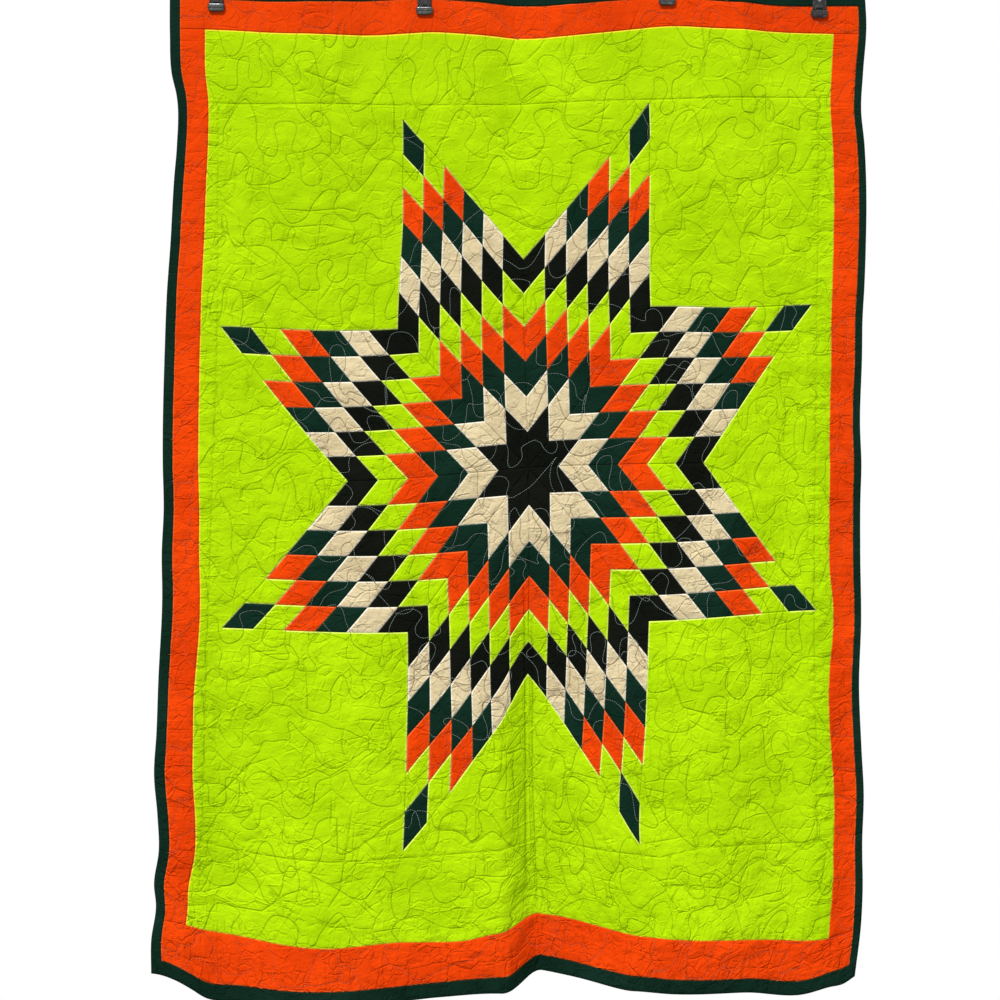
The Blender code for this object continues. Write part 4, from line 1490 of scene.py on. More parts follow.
def patchwork_tree() -> Tree:
    """A tree that lays a fine slanted patch at every point, along that point's two sides."""
    tree = Tree("patchwork", [("Steps", "NodeSocketInt"), ("Cloth", "NodeSocketMaterial")])
    graph = tree.graph
    count = graph.add(
        "FunctionNodeIntegerMath", {"operation": "ADD"}, {0: tree.given("Steps"), 1: 1}
    )
    grid_values = {"Size X": 1.0, "Size Y": 1.0, "Vertices X": count, "Vertices Y": count}
    grid = graph.add("GeometryNodeMeshGrid", None, grid_values)
    corner = graph.vectors("ADD", graph.add("GeometryNodeInputPosition"), (0.5, 0.5, 0.0))
    marked = graph.add(
        "GeometryNodeStoreNamedAttribute", {"data_type": "FLOAT_VECTOR", "domain": "POINT"},
        {"Geometry": grid, "Name": "share", "Value": corner},
    )
    placed = graph.add(
        "GeometryNodeInstanceOnPoints", None, {"Points": tree.given("Geometry"), "Instance": marked}
    )
    real = graph.add("GeometryNodeRealizeInstances", None, {"Geometry": placed})
    parts = graph.add("ShaderNodeSeparateXYZ", None, {0: tree.stored("share")})
    first = graph.add(
        "ShaderNodeVectorMath", {"operation": "SCALE"},
        {0: tree.stored("first_side"), "Scale": parts.out("X")},
    )
    second = graph.add(
        "ShaderNodeVectorMath", {"operation": "SCALE"},
        {0: tree.stored("second_side"), "Scale": parts.out("Y")},
    )
    place = graph.vectors("ADD", graph.vectors("ADD", first, second), tree.stored("corner"))
    laid = graph.add("GeometryNodeSetPosition", None, {"Geometry": real, "Position": place})
    values = {"Geometry": laid, "Material": tree.given("Cloth")}
    tree.finish(graph.add("GeometryNodeSetMaterial", None, values))
    return tree


# What each diamond's point stores: its corner and sides, and which of its sides meet another dye.
DIAMOND_FIELDS = ("corner", "first_side", "second_side", "low_sides", "high_sides")


@dataclass
class StarPatchwork:
    """The star's diamonds, one piece of each dye."""

    tailor: Tailor
    steps: int = 18

    def build(self) -> list[bpy.types.Object]:
        """Lays, hangs and dresses the diamonds of every dye."""
        tree = patchwork_tree()
        return [self._of_one_dye(tree, dye) for dye in Dye]

    def _of_one_dye(self, tree: Tree, dye: Dye) -> bpy.types.Object:
        """All the star's diamonds of one dye."""
        layout = self.tailor.layout
        last = layout.diamonds - 1
        lime = dye is Dye.LIME
        rows = []
        for point in range(8):
            first, second = (layout.corner(point + k) / layout.diamonds for k in (0, 1))
            for i in range(layout.diamonds):
                for j in range(layout.diamonds):
                    if RINGS[i + j] is dye:
                        low = (i > 0, j > 0)
                        high = (i < last or not lime, j < last or not lime)
                        rows.append((i * first + j * second, first, second, low, high))
        points = bpy.data.meshes.new(f"{dye.value} diamonds")
        points.vertices.add(len(rows))
        for name, values in zip(DIAMOND_FIELDS, np.array(rows, float).transpose(1, 0, 2)):
            store(points, name, np.column_stack([values, np.zeros(len(values))]))
        material = self.tailor.materials[dye]
        mesh = tree.grow(points, {"Steps": self.steps, "Cloth": material})
        return self._hung(mesh, dye)

    def _hung(self, mesh: bpy.types.Mesh, dye: Dye) -> bpy.types.Object:
        """Hangs the flat diamonds that the tree has laid."""
        co = np.empty(len(mesh.vertices) * 3, np.float32)
        mesh.vertices.foreach_get("co", co)
        flat = co.reshape(-1, 3)[:, :2].astype(float)
        share = stored_pairs(mesh, "share")
        first, second, low, high = (stored_pairs(mesh, name) for name in DIAMOND_FIELDS[1:])
        area = np.abs(first[:, 0] * second[:, 1] - first[:, 1] * second[:, 0])
        height = area[:, None] / np.linalg.norm(np.stack([second, first], axis=1), axis=2)
        seam = (np.minimum(share, 1 - share) * height).min(axis=1)
        from_low = np.where(low > 0.5, share * height, NO_SEAM)
        from_high = np.where(high > 0.5, (1 - share) * height, NO_SEAM)
        pale = np.minimum(from_low, from_high).min(axis=1)
        places = self.tailor.front(flat, seam)
        mesh.vertices.foreach_set("co", places.astype(np.float32).ravel())
        for name in ("share", *DIAMOND_FIELDS):
            mesh.attributes.remove(mesh.attributes[name])
        mesh.update()
        mesh.shade_smooth()
        nodes = [f"star_point_{k + 1}" for k in range(8)]
        patch = Patch(flat, np.empty((0, 4)), seam, pale)
        return self.tailor.finished(mesh, f"star_{dye.value}", patch, dye, nodes)


@dataclass
class LimeField:
    """The lime cloth between the star's points and the strips that frame it."""

    tailor: Tailor
    steps: int = 108
    strip_step: float = 3.9 * MM

    def build(self) -> list[bpy.types.Object]:
        """The corner squares, the side triangles and the framing strips."""
        layout = self.tailor.layout
        squares, triangles = [], []
        for k in (1, 3, 5, 7):
            start, first, last = (layout.corner(k + turn) for turn in (0, -1, 1))
            corners = (start, start + first, start + first + last, start + last)
            squares.append(four_sided(corners, self.steps, (0, 3)))
        for k in (0, 2, 4, 6):
            start, first, last = (layout.corner(k + turn) for turn in (0, -1, 1))
            corners = (start, start + first, start + last)
            triangles.append(three_sided(corners, self.steps, (0, 2)))
        ends = ("upper_right", "upper_left", "lower_left", "lower_right")
        names = [f"corner_square_{end}" for end in ends]
        sides = [f"side_triangle_{side}" for side in ("right", "top", "left", "bottom")]
        strips = [f"frame_strip_{side}" for side in BAND_SIDES]
        tailor = self.tailor
        band = band_strips(layout, layout.field, layout.framed, self.strip_step, self.steps)
        return [
            tailor.piece("corner_squares", joined(squares), Dye.LIME, names),
            tailor.piece("side_triangles", joined(triangles), Dye.LIME, sides),
            tailor.piece("frame_strips", band, Dye.LIME, strips),
        ]


BAND_SIDES = ("top", "bottom", "left", "right")
BAND_STEP = 4 * MM


def even(low: float, high: float, step: float) -> Array:
    """Places from low to high, about a step apart."""
    return np.linspace(low, high, max(1, round((high - low) / step)) + 1)


def seam_places(low: float, high: float, half: float, layout: Layout, axis: int,
                steps: int) -> Array:
    """Places along a band that share the panels' steps where they meet the field.

    Args:
        low: The band's lower end.
        high: Its upper end.
        half: Half the field's size that way.
        layout: The quilt's layout.
        axis: 0 across, 1 up.
        steps: The steps of one side of a panel.

    Returns:
        Places from low to high.
    """
    side = layout.side * layout.unit[axis]
    stops = [-half, -side, side, half]
    counts = [steps] * 3
    if low < -half - MM:
        stops = [low, *stops, high]
        counts = [round((-half - low) / BAND_STEP), *counts, round((high - half) / BAND_STEP)]
    runs = [np.linspace(a, b, n + 1)[1:] for a, b, n in zip(stops, stops[1:], counts)]
    return np.hstack([stops[:1], *runs])


def strip(across: Array, up: Array, pale: Sequence[int], sewn: Sequence[int] | None = None) -> Patch:
    """A straight strip's patch.

    Args:
        across: Its places across.
        up: Its places up.
        pale: The sides with a painted highlight along their edge: 0 bottom, 1 right, 2 top, 3 left.
        sewn: The sides with a seam, if there are more than those.

    Returns:
        The patch.
    """
    places = np.stack(np.meshgrid(across, up), axis=-1).reshape(-1, 2)
    corners = [np.array(c) for c in (
        (across[0], up[0]), (across[-1], up[0]), (across[-1], up[-1]), (across[0], up[-1])
    )]
    seam = seam_distance(places, corners, pale if sewn is None else sewn)
    pale_seam = seam_distance(places, corners, pale)
    return Patch(places, grid_faces(len(up), len(across)), seam, pale_seam)


def band_strips(layout: Layout, inner: Edges, outer: Edges, step: float, steps: int,
                sewn: Sequence[int] | None = None) -> Patch:
    """The four strips of a band: the top and bottom ones run the full width.

    Args:
        layout: The quilt's layout.
        inner: The band's inner seam.
        outer: Its outer seam.
        step: The usual step across a strip.
        steps: The steps of one side of a panel that the strips meet.
        sewn: The sides with a seam, if there are more than the outer ones.

    Returns:
        The strips as one patch.
    """
    across = seam_places(outer.left, outer.right, layout.field.right, layout, 0, steps)
    up = seam_places(inner.bottom, inner.top, layout.field.top, layout, 1, steps)
    return joined([
        strip(across, even(inner.top, outer.top, step), (1, 2, 3), sewn),
        strip(across, even(outer.bottom, inner.bottom, step), (0, 1, 3), sewn),
        strip(even(outer.left, inner.left, step), up, (3,), sewn),
        strip(even(inner.right, outer.right, step), up, (1,), sewn),
    ])


@dataclass
class OrangeBorder:
    """The four orange strips outside the lime."""

    tailor: Tailor
    steps: int = 108
    strip_step: float = 3.7 * MM

    def build(self) -> list[bpy.types.Object]:
        """The top and bottom strips run the full width, and tuck under the binding."""
        layout = self.tailor.layout
        all_sides = (0, 1, 2, 3)
        band = band_strips(
            layout, layout.framed, layout.bordered, self.strip_step, self.steps, all_sides
        )
        nodes = [f"border_{side}" for side in BAND_SIDES]
        return [self.tailor.piece("border_strips", band, Dye.ORANGE, nodes)]


@dataclass
class Binding:
    """The dark green binding, folded over the rim from the front to the back."""

    tailor: Tailor
    step: float = 4.2 * MM
    proud: float = 1.1 * MM
    puffed: float = 0.75
    round_share: float = 0.2
    flat_steps: int = 6
    round_steps: int = 4

    def build(self) -> list[bpy.types.Object]:
        """Four mitred strips as one piece."""
        layout = self.tailor.layout
        inner, outer = layout.bordered.corners(), layout.rim.corners()
        strips = []
        for k in (0, 2, 3, 1):
            after = (k + 1) % 4
            strips.append(self._strip(inner[k], inner[after], outer[after], outer[k]))
        places, faces = merged([part[:2] for part in strips])
        flat = np.vstack([part[2] for part in strips])
        seam = np.hstack([part[3] for part in strips])
        mesh = mesh_from("binding", places, faces)
        nodes = [f"binding_{side}" for side in BAND_SIDES]
        patch = Patch(flat, faces, seam, np.full(len(flat), NO_SEAM))
        return [self.tailor.finished(mesh, "binding", patch, Dye.GREEN, nodes)]

    def _section(self, half: float) -> tuple[Array, Array]:
        """The folded binding's section: share of its width out, and height off the middle."""
        out = list(np.linspace(0, 1 - self.round_share, self.flat_steps))
        for step in range(1, self.round_steps + 1):
            out.append(1 - self.round_share * (1 - math.sin(step * math.pi / 2 / self.round_steps)))
        out = np.array(out)
        over = np.clip((out - 1 + self.round_share) / self.round_share, 0, 1)
        height = half * np.sqrt(np.maximum(0, 1 - over**2))
        return np.hstack([out, out[-2::-1]]), np.hstack([height, -height[-2::-1]])

    def _strip(self, start: Array, end: Array, far_end: Array,
               far_start: Array) -> tuple[Array, Array, Array, Array]:
        """One mitred strip between its inner side and its outer side.

        Args:
            start: The inner side's start.
            end: The inner side's end.
            far_end: The outer side's end.
            far_start: The outer side's start.

        Returns:
            Hung places, faces, flat places and distances to the inner seam.
        """
        half = self.tailor.layout.thickness / 2 + self.proud
        out, height = self._section(1.0)
        count = round(np.linalg.norm(end - start) / self.step)
        along = np.linspace(0, 1, count + 1)[None, :, None]
        share = out[:, None, None]
        low = start + (far_start - start) * share
        high = end + (far_end - end) * share
        flat = (low + (high - low) * along).reshape(-1, 2)
        rise = np.repeat(height, count + 1)
        middle, normal = self.tailor.drape.surface(flat)
        lift = rise * (half + self.puffed * self.tailor.relief.read(flat))
        places = middle + normal * lift[:, None]
        width = np.linalg.norm(far_start - start) * ROOT_HALF
        seam = np.repeat(np.minimum(out * width, NO_SEAM), count + 1)
        faces = grid_faces(len(out), count + 1)[:, ::-1]
        return places, self._outward(places, faces, normal), flat, seam

    @staticmethod
    def _outward(places: Array, faces: Array, normal: Array) -> Array:
        """The faces, turned so that the first one points to the front."""
        a, b, c = (places[faces[0, k]] for k in range(3))
        if np.dot(np.cross(b - a, c - a), normal[faces[0, 0]]) < 0:
            return faces[:, ::-1]
        return faces


@dataclass
class Backing:
    """The plain back of the quilt, quilted with the same lines."""

    tailor: Tailor
    step: float = 7.6 * MM
    tuck: float = 3 * MM

    def build(self) -> list[bpy.types.Object]:
        """One whole cloth from binding to binding."""
        layout = self.tailor.layout
        rim = layout.rim
        across = even(rim.left + self.tuck, rim.right - self.tuck, self.step)
        up = even(rim.bottom + self.tuck, rim.top - self.tuck, self.step)
        patch = strip(across, up, ())
        middle, normal = self.tailor.drape.surface(patch.places)
        puffed = 0.4 * self.tailor.relief.read(patch.places)
        lift = layout.thickness / 2 + puffed
        places = middle - normal * lift[:, None]
        mesh = mesh_from("backing", places, patch.faces[:, ::-1])
        return [self.tailor.finished(mesh, "backing", patch, Dye.LIME, [])]


def stitch_tree() -> Tree:
    """A tree that lays a short round stitch at every point, along that point's way."""
    inputs = [
        ("Length", "NodeSocketFloat"), ("Width", "NodeSocketFloat"), ("Thread", "NodeSocketMaterial"),
    ]
    tree = Tree("stitches", inputs)
    graph = tree.graph
    bead = graph.add("GeometryNodeMeshUVSphere", None, {"Segments": 4, "Rings": 2, "Radius": 0.5})
    settings = {"primary_axis": "Z", "secondary_axis": "X"}
    axes = {0: tree.stored("way"), 1: tree.stored("outward")}
    turned = graph.add("FunctionNodeAxesToRotation", settings, axes)
    uneven = graph.add("FunctionNodeRandomValue", {"data_type": "FLOAT"}, {2: 0.8, 3: 1.15, 8: 7})
    size = graph.add(
        "ShaderNodeCombineXYZ", None,
        {"X": tree.given("Width"), "Y": tree.given("Width"), "Z": tree.given("Length") * uneven},
    )
    placed = graph.add(
        "GeometryNodeInstanceOnPoints", None,
        {"Points": tree.given("Geometry"), "Instance": bead, "Rotation": turned, "Scale": size},
    )
    real = graph.add("GeometryNodeRealizeInstances", None, {"Geometry": placed})
    smooth = graph.add("GeometryNodeSetShadeSmooth", None, {"Geometry": real})
    values = {"Geometry": smooth, "Material": tree.given("Thread")}
    tree.finish(graph.add("GeometryNodeSetMaterial", None, values))
    return tree


@dataclass(frozen=True)
class Thread:
    """A spun cotton thread of one shade."""

    name: str
    colour: Colour
    width: float
    slot: str = "quilting_thread"
    roughness: float = 0.8
    gloss: float = 0.15
    twist_waves: float = 900.0

    def material(self) -> bpy.types.Material:
        """The shade, a little uneven, and the twist of the yarn."""
        material, graph, shader = new_material(self.name)
        where = graph.object_place()
        uneven = graph.noise(where, 60.0).between(0.3, 0.7)
        dull = tuple(0.72 * part for part in self.colour)
        colour = graph.mixed(uneven, dull, self.colour)
        twist = graph.noise(where, self.twist_waves) * 0.15
        graph.feed(shader, {
            "Base Color": colour, "Normal": graph.bumped(twist),
            "Roughness": self.roughness, "Specular IOR Level": self.gloss,
        })
        return material


# The quilting thread by the cloth that it lies on: the tan on cream and the darker lime on lime are partly
# the thread's own shade and partly painted shade of the grooves it lies in.
THREADS = {
    "dark": (Thread("grey thread", (0.27, 0.33, 0.30), 1.15 * MM), (Dye.BLACK, Dye.GREEN)),
    "cream": (Thread("tan thread", (0.40, 0.31, 0.17), 0.8 * MM), (Dye.CREAM,)),
    "orange": (Thread("coral thread", (0.92, 0.17, 0.055), 1.2 * MM), (Dye.ORANGE,)),
    "lime": (Thread("lime thread", (0.40, 0.68, 0.004), 0.6 * MM), (Dye.LIME,)),
}


@dataclass
class QuiltingThread:
    """The stitches of the quilting, one piece for each kind of ground."""

    tailor: Tailor
    pitch: float = 4.8 * MM
    length: float = 7.2 * MM
    proud: float = 0.5 * MM

    def build(self) -> list[bpy.types.Object]:
        """Lays the stitches along every row of quilting."""
        flat = np.vstack([self._evenly_along(row) for row in self.tailor.relief.quilting])
        flat = flat[self.tailor.relief.quilted(flat)]
        ground = self.tailor.layout.cloth_at(flat)
        places, ways, outward = self._laid(flat)
        tree = stitch_tree()
        pieces = []
        for name, (thread, dyes) in THREADS.items():
            chosen = np.array([dye in dyes for dye in ground])
            mesh = bpy.data.meshes.new(f"{name} stitches")
            mesh.vertices.add(int(chosen.sum()))
            mesh.vertices.foreach_set("co", places[chosen].astype(np.float32).ravel())
            store(mesh, "way", ways[chosen])
            store(mesh, "outward", outward[chosen])
            values = {"Length": self.length, "Width": thread.width, "Thread": thread.material()}
            piece = shown(tree.grow(mesh, values), f"thread_on_{name}")
            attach(piece, ROOT_BODY)
            log.info("%s: %d stitches", piece.name, chosen.sum())
            pieces.append(piece)
        return pieces

    def _evenly_along(self, row: Line) -> Array:
        """Flat places a stitch apart along a row of quilting, in order."""
        step = np.linalg.norm(np.diff(row.places, axis=0), axis=1)
        run = np.hstack([0, np.cumsum(step)])
        at = np.arange(0, run[-1], self.pitch)
        return np.column_stack([np.interp(at, run, row.places[:, axis]) for axis in (0, 1)])

    def _laid(self, flat: Array) -> tuple[Array, Array, Array]:
        """Where the stitches lie, which way they run and which way is out, each (n, 3)."""
        middle, normal = self.tailor.drape.surface(flat)
        lift = self.tailor.layout.thickness / 2 + self.tailor.relief.read(flat) + self.proud
        places = middle + normal * lift[:, None]
        ways = np.gradient(places, axis=0)
        size = np.linalg.norm(ways, axis=1, keepdims=True)
        return places, ways / np.maximum(size, 1e-9), normal


@dataclass(frozen=True)
class Moulding:
    """Moulded plastic, scuffed and dusty."""

    name: str
    colour: Colour
    worn: Colour
    roughness: float = 0.42

    def material(self) -> bpy.types.Material:
        """The plastic with its fine grain, dust and scuffs."""
        material, graph, shader = new_material(self.name)
        where = graph.object_place()
        dust = graph.noise(where, 160.0, 4.0, 0.6).between(0.42, 0.68)
        colour = graph.mixed(dust * 0.7, self.colour, self.worn)
        rough = dust * 0.2 + self.roughness
        grain = graph.noise(where, 1400.0, 2.0) * 0.05 + graph.noise(where, 90.0, 2.0) * 0.2
        graph.feed(shader, {"Base Color": colour, "Roughness": rough, "Normal": graph.bumped(grain)})
        return material


@dataclass(frozen=True)
class Steel:
    """Bright spring steel with fine drawing lines."""

    name: str = "spring steel"
    colour: Colour = (0.62, 0.62, 0.63)
    roughness: float = 0.26

    def material(self) -> bpy.types.Material:
        """The steel, with lines along it and a few duller patches."""
        material, graph, shader = new_material(self.name)
        where = graph.object_place()
        drawn = graph.add("ShaderNodeMapping", None, {0: where, 3: (3000, 3000, 60)})
        lines = graph.noise(drawn, 1.0)
        patches = graph.noise(where, 120.0, 3.0).between(0.4, 0.7)
        rough = patches * 0.15 + lines * 0.1 + self.roughness
        dull = tuple(0.7 * part for part in self.colour)
        colour = graph.mixed(patches, self.colour, dull)
        normal = graph.bumped(lines * 0.02, 0.6)
        graph.feed(shader, {
            "Base Color": colour, "Roughness": rough, "Normal": normal, "Metallic": 1.0,
        })
        return material


@dataclass
class PinchClips:
    """The four clips: their finishes, and the pads, levers and pins on their front jaws."""

    layout: Layout
    width: float = 35 * MM
    neck_width: float = 29 * MM
    corner: float = 9 * MM
    lip_height: float = 16 * MM
    lip_depth: float = 6.5 * MM
    body_depth: float = 4.5 * MM
    groove: float = 2 * MM
    height: float = 78 * MM
    clearance: float = 0.3 * MM
    arc_steps: int = 8
    pin_radius: float = 1.0 * MM
    pad_rise: float = 1.2 * MM
    lever_rise: float = 2.2 * MM
    lever_width: float = 14 * MM
    rail_width: float = 3.4 * MM
    rivet_radius: float = 3.6 * MM
    rivet_up: float = 36.5 * MM
    sink: float = 0.2 * MM

    def build(self) -> None:
        """Dresses the clips' nodes and adds the front details as one piece of each kind."""
        body = Moulding("clip plastic", (0.020, 0.019, 0.019), (0.060, 0.058, 0.055)).material()
        # The pad's grey is partly its own greenish grey and partly a painted reflection of the white room
        # on its glossy face.
        pad = Moulding("clip pad", (0.045, 0.050, 0.046), (0.13, 0.14, 0.125), 0.5).material()
        steel = Steel().material()
        for number in range(1, len(HOLDS) + 1):
            for part, material in (("front_jaw", body), ("back_jaw", body), ("spring", steel)):
                node = frame["nodes"][f"clip_{number}_{part}"]
                if not node.material_slots:
                    node.data.materials.append(material)
                for slot in node.material_slots:
                    slot.material = material
        self._piece("clip_pads", self._pad(), pad, HOLDS[:3])
        self._piece("clip_tongue", self._tongue(), body, HOLDS[3:])
        self._piece("clip_levers", self._lever(), body, HOLDS)
        self._piece("clip_pins", self._pin(), steel, HOLDS[:3])
        self._piece("clip_rivets", self._rivet(), steel, HOLDS)

    @property
    def _face(self) -> float:
        """How far the front jaw's body stands in front of the cloth's middle."""
        return self.layout.thickness / 2 + self.clearance + self.body_depth

    @property
    def _lip_face(self) -> float:
        """How far the front jaw's lip stands in front of the cloth's middle."""
        return self.layout.thickness / 2 + self.clearance + self.lip_depth

    def _raised(self, outline: Array, back: float, rise: float, edge: float) -> tuple[Array, Array]:
        """A raised plate with a rounded front edge.

        Args:
            outline: Its outline from the front, as (x, z), counterclockwise.
            back: How far its back stands in front of the cloth's middle.
            rise: How far it rises from there.
            edge: The radius of its front edge.

        Returns:
            Places and triangles.
        """
        centre = (outline.min(axis=0) + outline.max(axis=0)) / 2
        least = np.abs(outline - centre).max(axis=0).min()
        rings = [(0.0, 0.0), (0.0, rise - edge)]
        for step in range(1, 5):
            angle = step * math.pi / 8
            rings.append((edge * (1 - math.cos(angle)), rise - edge * (1 - math.sin(angle))))
        places = []
        for inset, out in rings:
            ring = centre + (outline - centre) * (1 - inset / least)
            places.append(np.column_stack([ring[:, 0], np.full(len(ring), -back - out), ring[:, 1]]))
        count = len(outline)
        places.append(np.array([(centre[0], -back - rise, centre[1]), (centre[0], -back, centre[1])]))
        faces = []
        for level in range(len(rings) - 1):
            for i in range(count):
                a, b = level * count + i, level * count + (i + 1) % count
                faces += [(a, b, b + count), (a, b + count, a + count)]
        top, front, rear = (len(rings) - 1) * count, len(rings) * count, len(rings) * count + 1
        for i in range(count):
            faces += [(top + i, top + (i + 1) % count, front), ((i + 1) % count, i, rear)]
        return np.vstack(places), np.array(faces)

    def _rounded(self, left: float, right: float, low: float, high: float, corner: float) -> Array:
        """A rounded rectangle as (x, z), counterclockwise from its lower right corner."""
        corners = ((right, low, -1), (right, high, 0), (left, high, 1), (left, low, 2))
        points = []
        for x, z, quarter in corners:
            middle = (x - math.copysign(corner, x - (left + right) / 2),
                      z - math.copysign(corner, z - (low + high) / 2))
            for step in range(self.arc_steps + 1):
                angle = (quarter + step / self.arc_steps) * math.pi / 2
                points.append((middle[0] + corner * math.cos(angle), middle[1] + corner * math.sin(angle)))
        return np.array(points)

    def _pad(self) -> tuple[Array, Array]:
        """The soft pad on the lip, with two grooves across it."""
        half = self.width / 2 - 1.6 * MM
        top = self.lip_height - 3.4 * MM
        parts = []
        for low, high in ((1.6 * MM, 7.2 * MM), (8.0 * MM, top)):
            corner = min(self.corner - 1.6 * MM, (high - low) / 2 - 0.1 * MM)
            reach = half - (2.4 * MM if low < 2 * MM else 0.0)
            outline = self._rounded(-reach, reach, low, high, corner)
            parts.append(self._raised(outline, self._lip_face - self.sink, self.pad_rise, 0.6 * MM))
        return merged(parts)

    def _lever(self) -> tuple[Array, Array]:
        """The tongue down the middle of the body, and a rail on each side of it."""
        foot = self.lip_height + self.groove + 1.5 * MM
        half = self.neck_width / 2 - 0.8 * MM
        back = self._face - self.sink
        wide, top = self.lever_width / 2, self.rivet_up + 7 * MM
        tongue = self._rounded(-wide, wide, foot, top, 2.5 * MM)
        parts = [self._raised(tongue, back, self.lever_rise, 0.9 * MM)]
        for side in (-1, 1):
            near, far = sorted((side * half, side * (half - self.rail_width)))
            rail = self._rounded(near, far, foot - 1 * MM, self.height - 1 * MM, 1.5 * MM)
            parts.append(self._raised(rail, back, 1.5 * MM, 0.7 * MM))
        return merged(parts)

    def _tongue(self) -> tuple[Array, Array]:
        """The last clip's lip has no pad: its tongue and rails run on down over it."""
        back = self._lip_face - self.sink
        half, top = self.width / 2 - 1.2 * MM, self.lip_height - 0.4 * MM
        middle = self._rounded(-self.lever_width / 2, self.lever_width / 2, 2.5 * MM, top, 2.5 * MM)
        parts = [self._raised(middle, back, self.lever_rise, 0.9 * MM)]
        for side in (-1, 1):
            near, far = sorted((side * half, side * (half - self.rail_width)))
            rail = self._rounded(near, far, 6 * MM, top, 1.5 * MM)
            parts.append(self._raised(rail, back, 1.3 * MM, 0.6 * MM))
        return merged(parts)

    def _pin(self) -> tuple[Array, Array]:
        """The steel pin along the top of the lip."""
        half = self.width / 2 - 3 * MM
        level = self.lip_height - 1.4 * MM
        outline = self._rounded(-half, half, level - self.pin_radius, level + self.pin_radius, 0.95 * MM)
        return self._raised(outline, self._lip_face - self.sink, 1.6 * MM, 0.8 * MM)

    def _rivet(self) -> tuple[Array, Array]:
        """The rivet's head on the tongue."""
        angles = np.arange(24) * TURN / 24
        ring = np.column_stack([np.cos(angles), np.sin(angles)]) * self.rivet_radius
        back = self._face + self.lever_rise - 0.4 * MM
        return self._raised(ring + (0, self.rivet_up), back, 1.4 * MM, 1.2 * MM)

    def _piece(self, name: str, shape: tuple[Array, Array], material: bpy.types.Material,
               holds: Sequence[Hold]) -> None:
        """Sets one shape on some of the clips, as one piece."""
        copies = []
        for hold in holds:
            places, faces = shape
            tilt = math.radians(hold.tilt)
            x = places[:, 0] * math.cos(tilt) + places[:, 2] * math.sin(tilt) + hold.x * MM
            z = places[:, 2] * math.cos(tilt) - places[:, 0] * math.sin(tilt) - hold.drop * MM
            copies.append((np.column_stack([x, places[:, 1], z]), faces))
        places, faces = merged(copies)
        mesh = mesh_from(name, places, faces)
        mesh.set_sharp_from_angle(angle=math.radians(50))
        mesh.materials.append(material)
        piece = shown(mesh, name)
        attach(piece, ROOT_BODY)
        log.info("%s: %d faces", name, len(mesh.polygons))


def merged(parts: Sequence[tuple[Array, Array]]) -> tuple[Array, Array]:
    """Several sets of places and faces as one."""
    start = np.cumsum([0] + [len(places) for places, _ in parts])
    return (
        np.vstack([places for places, _ in parts]),
        np.vstack([faces + first for (_, faces), first in zip(parts, start)]),
    )


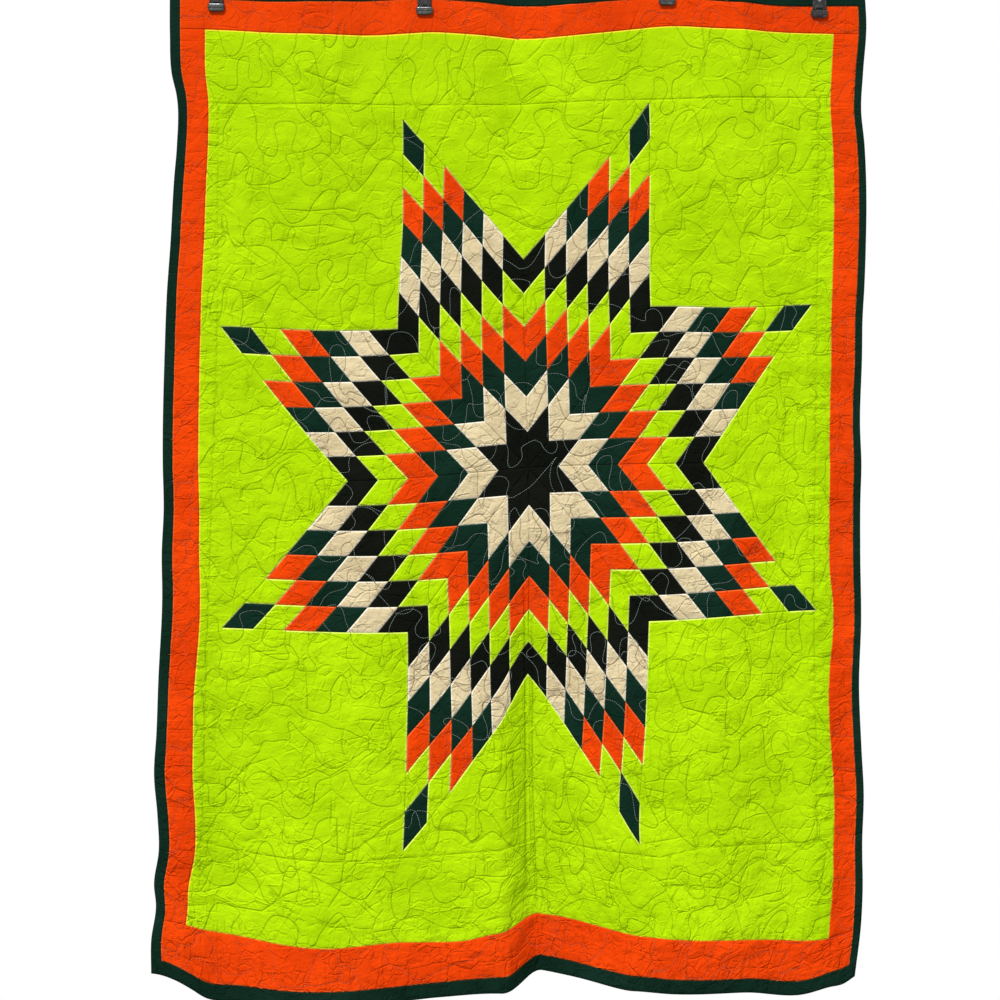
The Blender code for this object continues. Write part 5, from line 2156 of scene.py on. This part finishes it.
@dataclass
class Studio:
    """The camera, the soft light and the pale floor."""

    distance: float = 5.0
    view_width: float = 2.1
    middle_x: float = -31.5 * MM
    middle_drop: float = 1062.6 * MM
    sensor: float = 36.0
    floor_drop: float = 3.6
    floor_half: float = 1.8
    floor_near: float = -2.4
    floor_far: float = 0.8
    ambient: float = 0.40
    sun_strength: float = 3.8
    sun_height: float = math.radians(52)
    sun_side: float = math.radians(-24)
    sun_spread: float = math.radians(9)

    def build(self) -> None:
        """Sets up everything round the quilt."""
        self._camera()
        self._world()
        self._sun()
        self._floor()

    def _camera(self) -> None:
        """A level camera face on to the quilt, as far off as a person stands."""
        data = bpy.data.cameras.new("camera")
        data.sensor_width = self.sensor
        data.lens = self.sensor * self.distance / self.view_width
        camera = bpy.data.objects.new("camera", data)
        camera.location = (self.middle_x, -self.distance, -self.middle_drop)
        camera.rotation_euler = (math.pi / 2, 0, 0)
        bpy.context.scene.collection.objects.link(camera)
        bpy.context.scene.camera = camera
        bpy.context.scene.view_settings.view_transform = "Standard"

    def _world(self) -> None:
        """White all round, and dimmer as light than as a background."""
        world = bpy.data.worlds.new("white room")
        bpy.context.scene.world = world
        world.use_nodes = True
        graph = Graph(world.node_tree)
        background = world.node_tree.nodes["Background"]
        seen = graph.add("ShaderNodeLightPath")
        strength = seen * (1 - self.ambient) + self.ambient
        graph.feed(background, {"Color": (1, 1, 1, 1), "Strength": strength})

    def _sun(self) -> None:
        """A broad soft light from above and a little to the left."""
        data = bpy.data.lights.new("soft light", "SUN")
        data.energy = self.sun_strength
        data.angle = self.sun_spread
        sun = bpy.data.objects.new("soft light", data)
        toward = Vector((
            math.sin(self.sun_side) * math.cos(self.sun_height),
            -math.cos(self.sun_side) * math.cos(self.sun_height),
            math.sin(self.sun_height),
        ))
        sun.rotation_euler = toward.to_track_quat("Z", "Y").to_euler()
        bpy.context.scene.collection.objects.link(sun)

    def _floor(self) -> None:
        """A plain pale floor under the quilt, short of the front view's lower edge."""
        half, near, far, level = self.floor_half, self.floor_near, self.floor_far, -self.floor_drop
        places = np.array([
            (-half, near, level), (half, near, level), (half, far, level), (-half, far, level)
        ])
        floor = shown(mesh_from("floor", places, np.array([[0, 1, 2, 3]])), "floor")
        material, graph, shader = new_material("pale floor")
        where = graph.object_place()
        speckle = graph.noise(where, 40.0, 4.0)
        colour = graph.mixed(speckle, (0.44, 0.436, 0.425), (0.49, 0.486, 0.475))
        graph.feed(shader, {"Base Color": colour, "Roughness": 0.8})
        floor.data.materials.append(material)


def main() -> None:
    """Builds the quilt and the studio round it, and works out the quilt's size."""
    logging.basicConfig(level=logging.INFO, format="%(name)s: %(message)s")
    layout = Layout()
    drape = Drape(layout)
    relief = Relief(layout, drape)
    tailor = Tailor(layout, drape, relief)
    front = []
    parts = (
        StarPatchwork(tailor), LimeField(tailor), OrangeBorder(tailor), Binding(tailor),
        QuiltingThread(tailor),
    )
    for part in parts:
        front += part.build()
    PinchClips(layout).build()
    backing = Backing(tailor).build()[0]
    rim = layout.rim
    size = (rim.right - rim.left, rim.top - rim.bottom)
    Studio().build()


if __name__ == "__main__":
    main()
